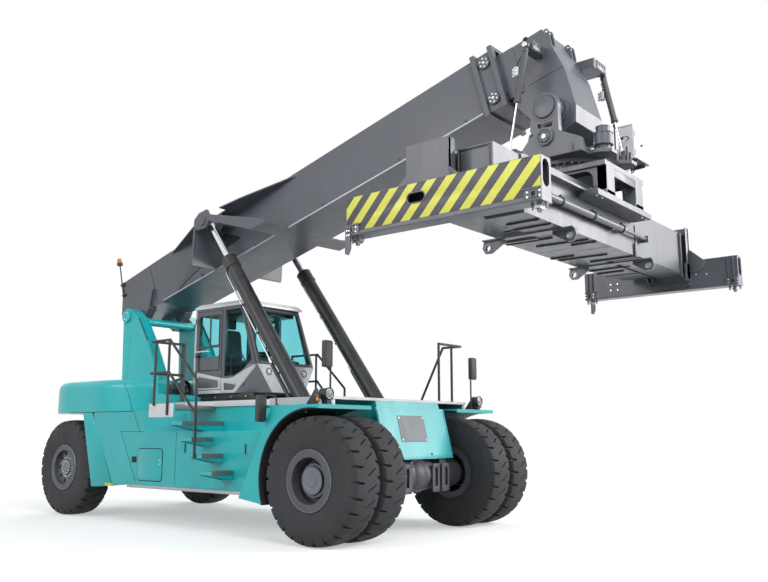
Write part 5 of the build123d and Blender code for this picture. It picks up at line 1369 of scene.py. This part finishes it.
POLE = (-0.462, -0.462)         # the beacon's pole, along and across the boom
boom = Piece("boom_trim", "boom", "boom_paint", "grey")
for side, sign in SIDES.items():
    boom.sign = sign
    face, out = sign * BOOM_Y, FACE[side]
    for w in (0.215, 0.781):
        boom.use("grey").lathe(on_boom(8.22, face, w), out,
                               [(0, 0.092), (0.026, 0.090), (0.032, 0.082), (0.032, 0)], 48)
        boom.use("bright").ring(on_boom(8.22, face + sign * 0.032, w), out, 0.060, 6, 0.010, 0.012)
        boom.bolt(on_boom(8.22, face + sign * 0.032, w), out, 0.016, 0.02)
    # Thin black lines along the boom's rear creases and a black rounded triangle for a hole in its side: painted
    # shade.
    boom.use("void")
    for start, end in (((0.444, 0.874), (0.538, 0.192)), ((0.538, 0.192), (0.063, 0.285))):
        boom_facing(boom, ribbon(start, end, 0.008), BOOM_Y, 0.002, 0.0)
    hole = rounded([(2.30, 0.35), (2.60, 0.65), (3.01, 0.39)], 0.06)
    boom_facing(boom, hole, BOOM_Y, 0.002, 0.0)
    # A dark grey plate on the boom's side under the lift bracket's top plate: painted shade where that side lies
    # in shadow.
    boom_facing(boom.use("dark"), [(1.098, 0.082), (1.475, 0.206), (1.900, 0.300), (1.966, 0.494),
                                   (1.668, 0.618), (1.430, 0.300)], BOOM_Y, 0.012, 0.003)
    # A pale strip along the bottom flange's edge on each side: a painted highlight.
    boom_facing(boom.use("edge"), [(0.78, 0.052), (8.02, 0.052), (8.02, 0.078), (0.78, 0.078)], 0.500, 0.003,
                0.001)
    boom.use("grey")
    for u in (1.9, 3.3, 4.9, 6.5, 7.7):
        boom_facing(boom, [(u, 0.081), (u + 0.012, 0.081), (u + 0.012, 0.14), (u, 0.14)], BOOM_Y, 0.045,
                    0.002)
    boom.use("void")
    for k in range(5):
        boom.lathe(on_boom(8.365, sign * (0.10 + 0.09 * k), 0.0097), -BOOM_UP,
                   [(0, 0.012), (0.0015, 0.012), (0.0015, 0)], 14)
# beacon on its pole
boom.use("black").rod(on_boom(*POLE, 0.60), on_boom(*POLE, 1.30), 0.013, 0.003, 14)
for low, high in ((0.620, 0.650), (0.825, 0.880)):
    boom.prism([on_boom(-0.485, -0.485, low), on_boom(-0.380, -0.485, low), on_boom(-0.380, -0.485, high),
                on_boom(-0.485, -0.485, high)], (0, 0.060, 0), 0.004)
boom.lathe(on_boom(*POLE, 1.28), BOOM_UP, [(0, 0.0), (0, 0.055), (0.035, 0.060), (0.045, 0.055)], 32)
boom.use("amber").lathe(on_boom(*POLE, 1.318), BOOM_UP,
                        [(0, 0.054), (0.07, 0.050), (0.10, 0.034), (0.112, 0)], 32)
boom.done()

tower = Piece("tower_trim", "chassis", "chassis_paint", "turquoise")
for side, sign in SIDES.items():
    tower.sign = sign
    pin = Vector((PIVOT.x, sign * 0.7845, PIVOT.z))
    tower.use("turquoise").lathe(pin, FACE[side], [(0, 0.118), (0.006, 0.114), (0.008, 0.100), (0.004, 0.096),
                                                   (0.004, 0)], 48)
    tower.use("bright").ring(pin + Vector(FACE[side]) * 0.004, FACE[side], 0.070, 6, 0.011, 0.012)
    tower.use("turquoise")
    edge = [(-5.000, 2.340), (-5.190, 2.690), (-5.390, 3.050), (-5.690, 3.490)]
    for y in (0.535, 0.725):
        for (x0, z0), (x1, z1) in zip(edge, edge[1:]):
            tower.prism([at(x0, sign * y, z0), at(x1, sign * y, z1), at(x1 + 0.022, sign * y, z1 + 0.012),
                         at(x0 + 0.022, sign * y, z0 + 0.012)], (0, sign * 0.016, 0), 0.003)
    tower.use("void")
    line(tower, (-5.98, 2.36), (-5.90, 3.20), 0.750, 0.006)
tower.done()

# ---------------------------------------------------------------- stage
ground = bpy.data.meshes.new("floor")
reach = 400.0
ground.from_pydata([(-reach, -reach, 0), (reach, -reach, 0), (reach, reach, 0), (-reach, reach, 0)], [],
                   [(0, 1, 2, 3)])
floor_piece = placed("floor", ground)
n = Nodes("pale_floor")
path = n.add("LightPath")
seen = n.math("MAXIMUM", n.math("MAXIMUM", path.outputs["Is Camera Ray"], path.outputs["Is Glossy Ray"]),
              path.outputs["Is Transmission Ray"])
reach_out = n.add("VectorMath", operation="LENGTH")
n.join(n.place, reach_out.inputs[0])
glow = n.span(reach_out.outputs["Value"], 8.0, 22.0, 0.42, 1.0)
n.set(Base_Color=n.mix(seen, linear(150, 151, 152),
                       n.mix(n.noise(0.6), linear(214, 216, 217), linear(222, 224, 225))), Roughness=0.9,
      Emission_Color=linear(255, 255, 255), Emission_Strength=n.math("MULTIPLY", seen, glow))
ground.materials.append(n.material)

world = bpy.data.worlds.new("studio")
bpy.context.scene.world = world
world.use_nodes = True
tree = world.node_tree
background = tree.nodes["Background"]
path = tree.nodes.new("ShaderNodeLightPath")
shown = path.outputs["Is Camera Ray"]
for ray in ("Is Transmission Ray", "Is Glossy Ray"):
    most = tree.nodes.new("ShaderNodeMath")
    most.operation = "MAXIMUM"
    tree.links.new(shown, most.inputs[0])
    tree.links.new(path.outputs[ray], most.inputs[1])
    shown = most.outputs[0]
level = tree.nodes.new("ShaderNodeMapRange")
tree.links.new(shown, level.inputs[0])
level.inputs[3].default_value = 0.30
level.inputs[4].default_value = 1.0
tree.links.new(level.outputs[0], background.inputs["Strength"])
background.inputs["Color"].default_value = (1, 1, 1, 1)


def lamp(name, place, target, size, power):
    """A white rectangular lamp that looks at its target."""
    data = bpy.data.lights.new(name, "AREA")
    data.shape, data.size, data.size_y = "RECTANGLE", size[0], size[1]
    data.energy = power
    holder = placed(name, data)
    holder.location = place
    holder.rotation_euler = (Vector(target) - Vector(place)).to_track_quat("-Z", "Y").to_euler()


middle = at(-1.0, 0, 2.5)
lamp("front", at(15, 12, 9), middle, (14, 10), 3700)
lamp("key", at(12, -8, 14), middle, (8, 8), 1700)
lamp("side", at(-5, -18, 9), middle, (12, 8), 1300)
lamp("back", at(-14, 10, 12), middle, (10, 8), 900)

eye = bpy.data.cameras.new("view")
eye.sensor_fit, eye.sensor_width, eye.lens = "HORIZONTAL", 36.0, 39.35
eye.clip_end = 2000
camera = placed("view", eye)
camera.location = at(7.5311, -9.7615, 1.4189)
camera.rotation_euler = (radians(99.54), 0, radians(39.27))
bpy.context.scene.camera = camera
bpy.context.scene.view_settings.view_transform = "Standard"
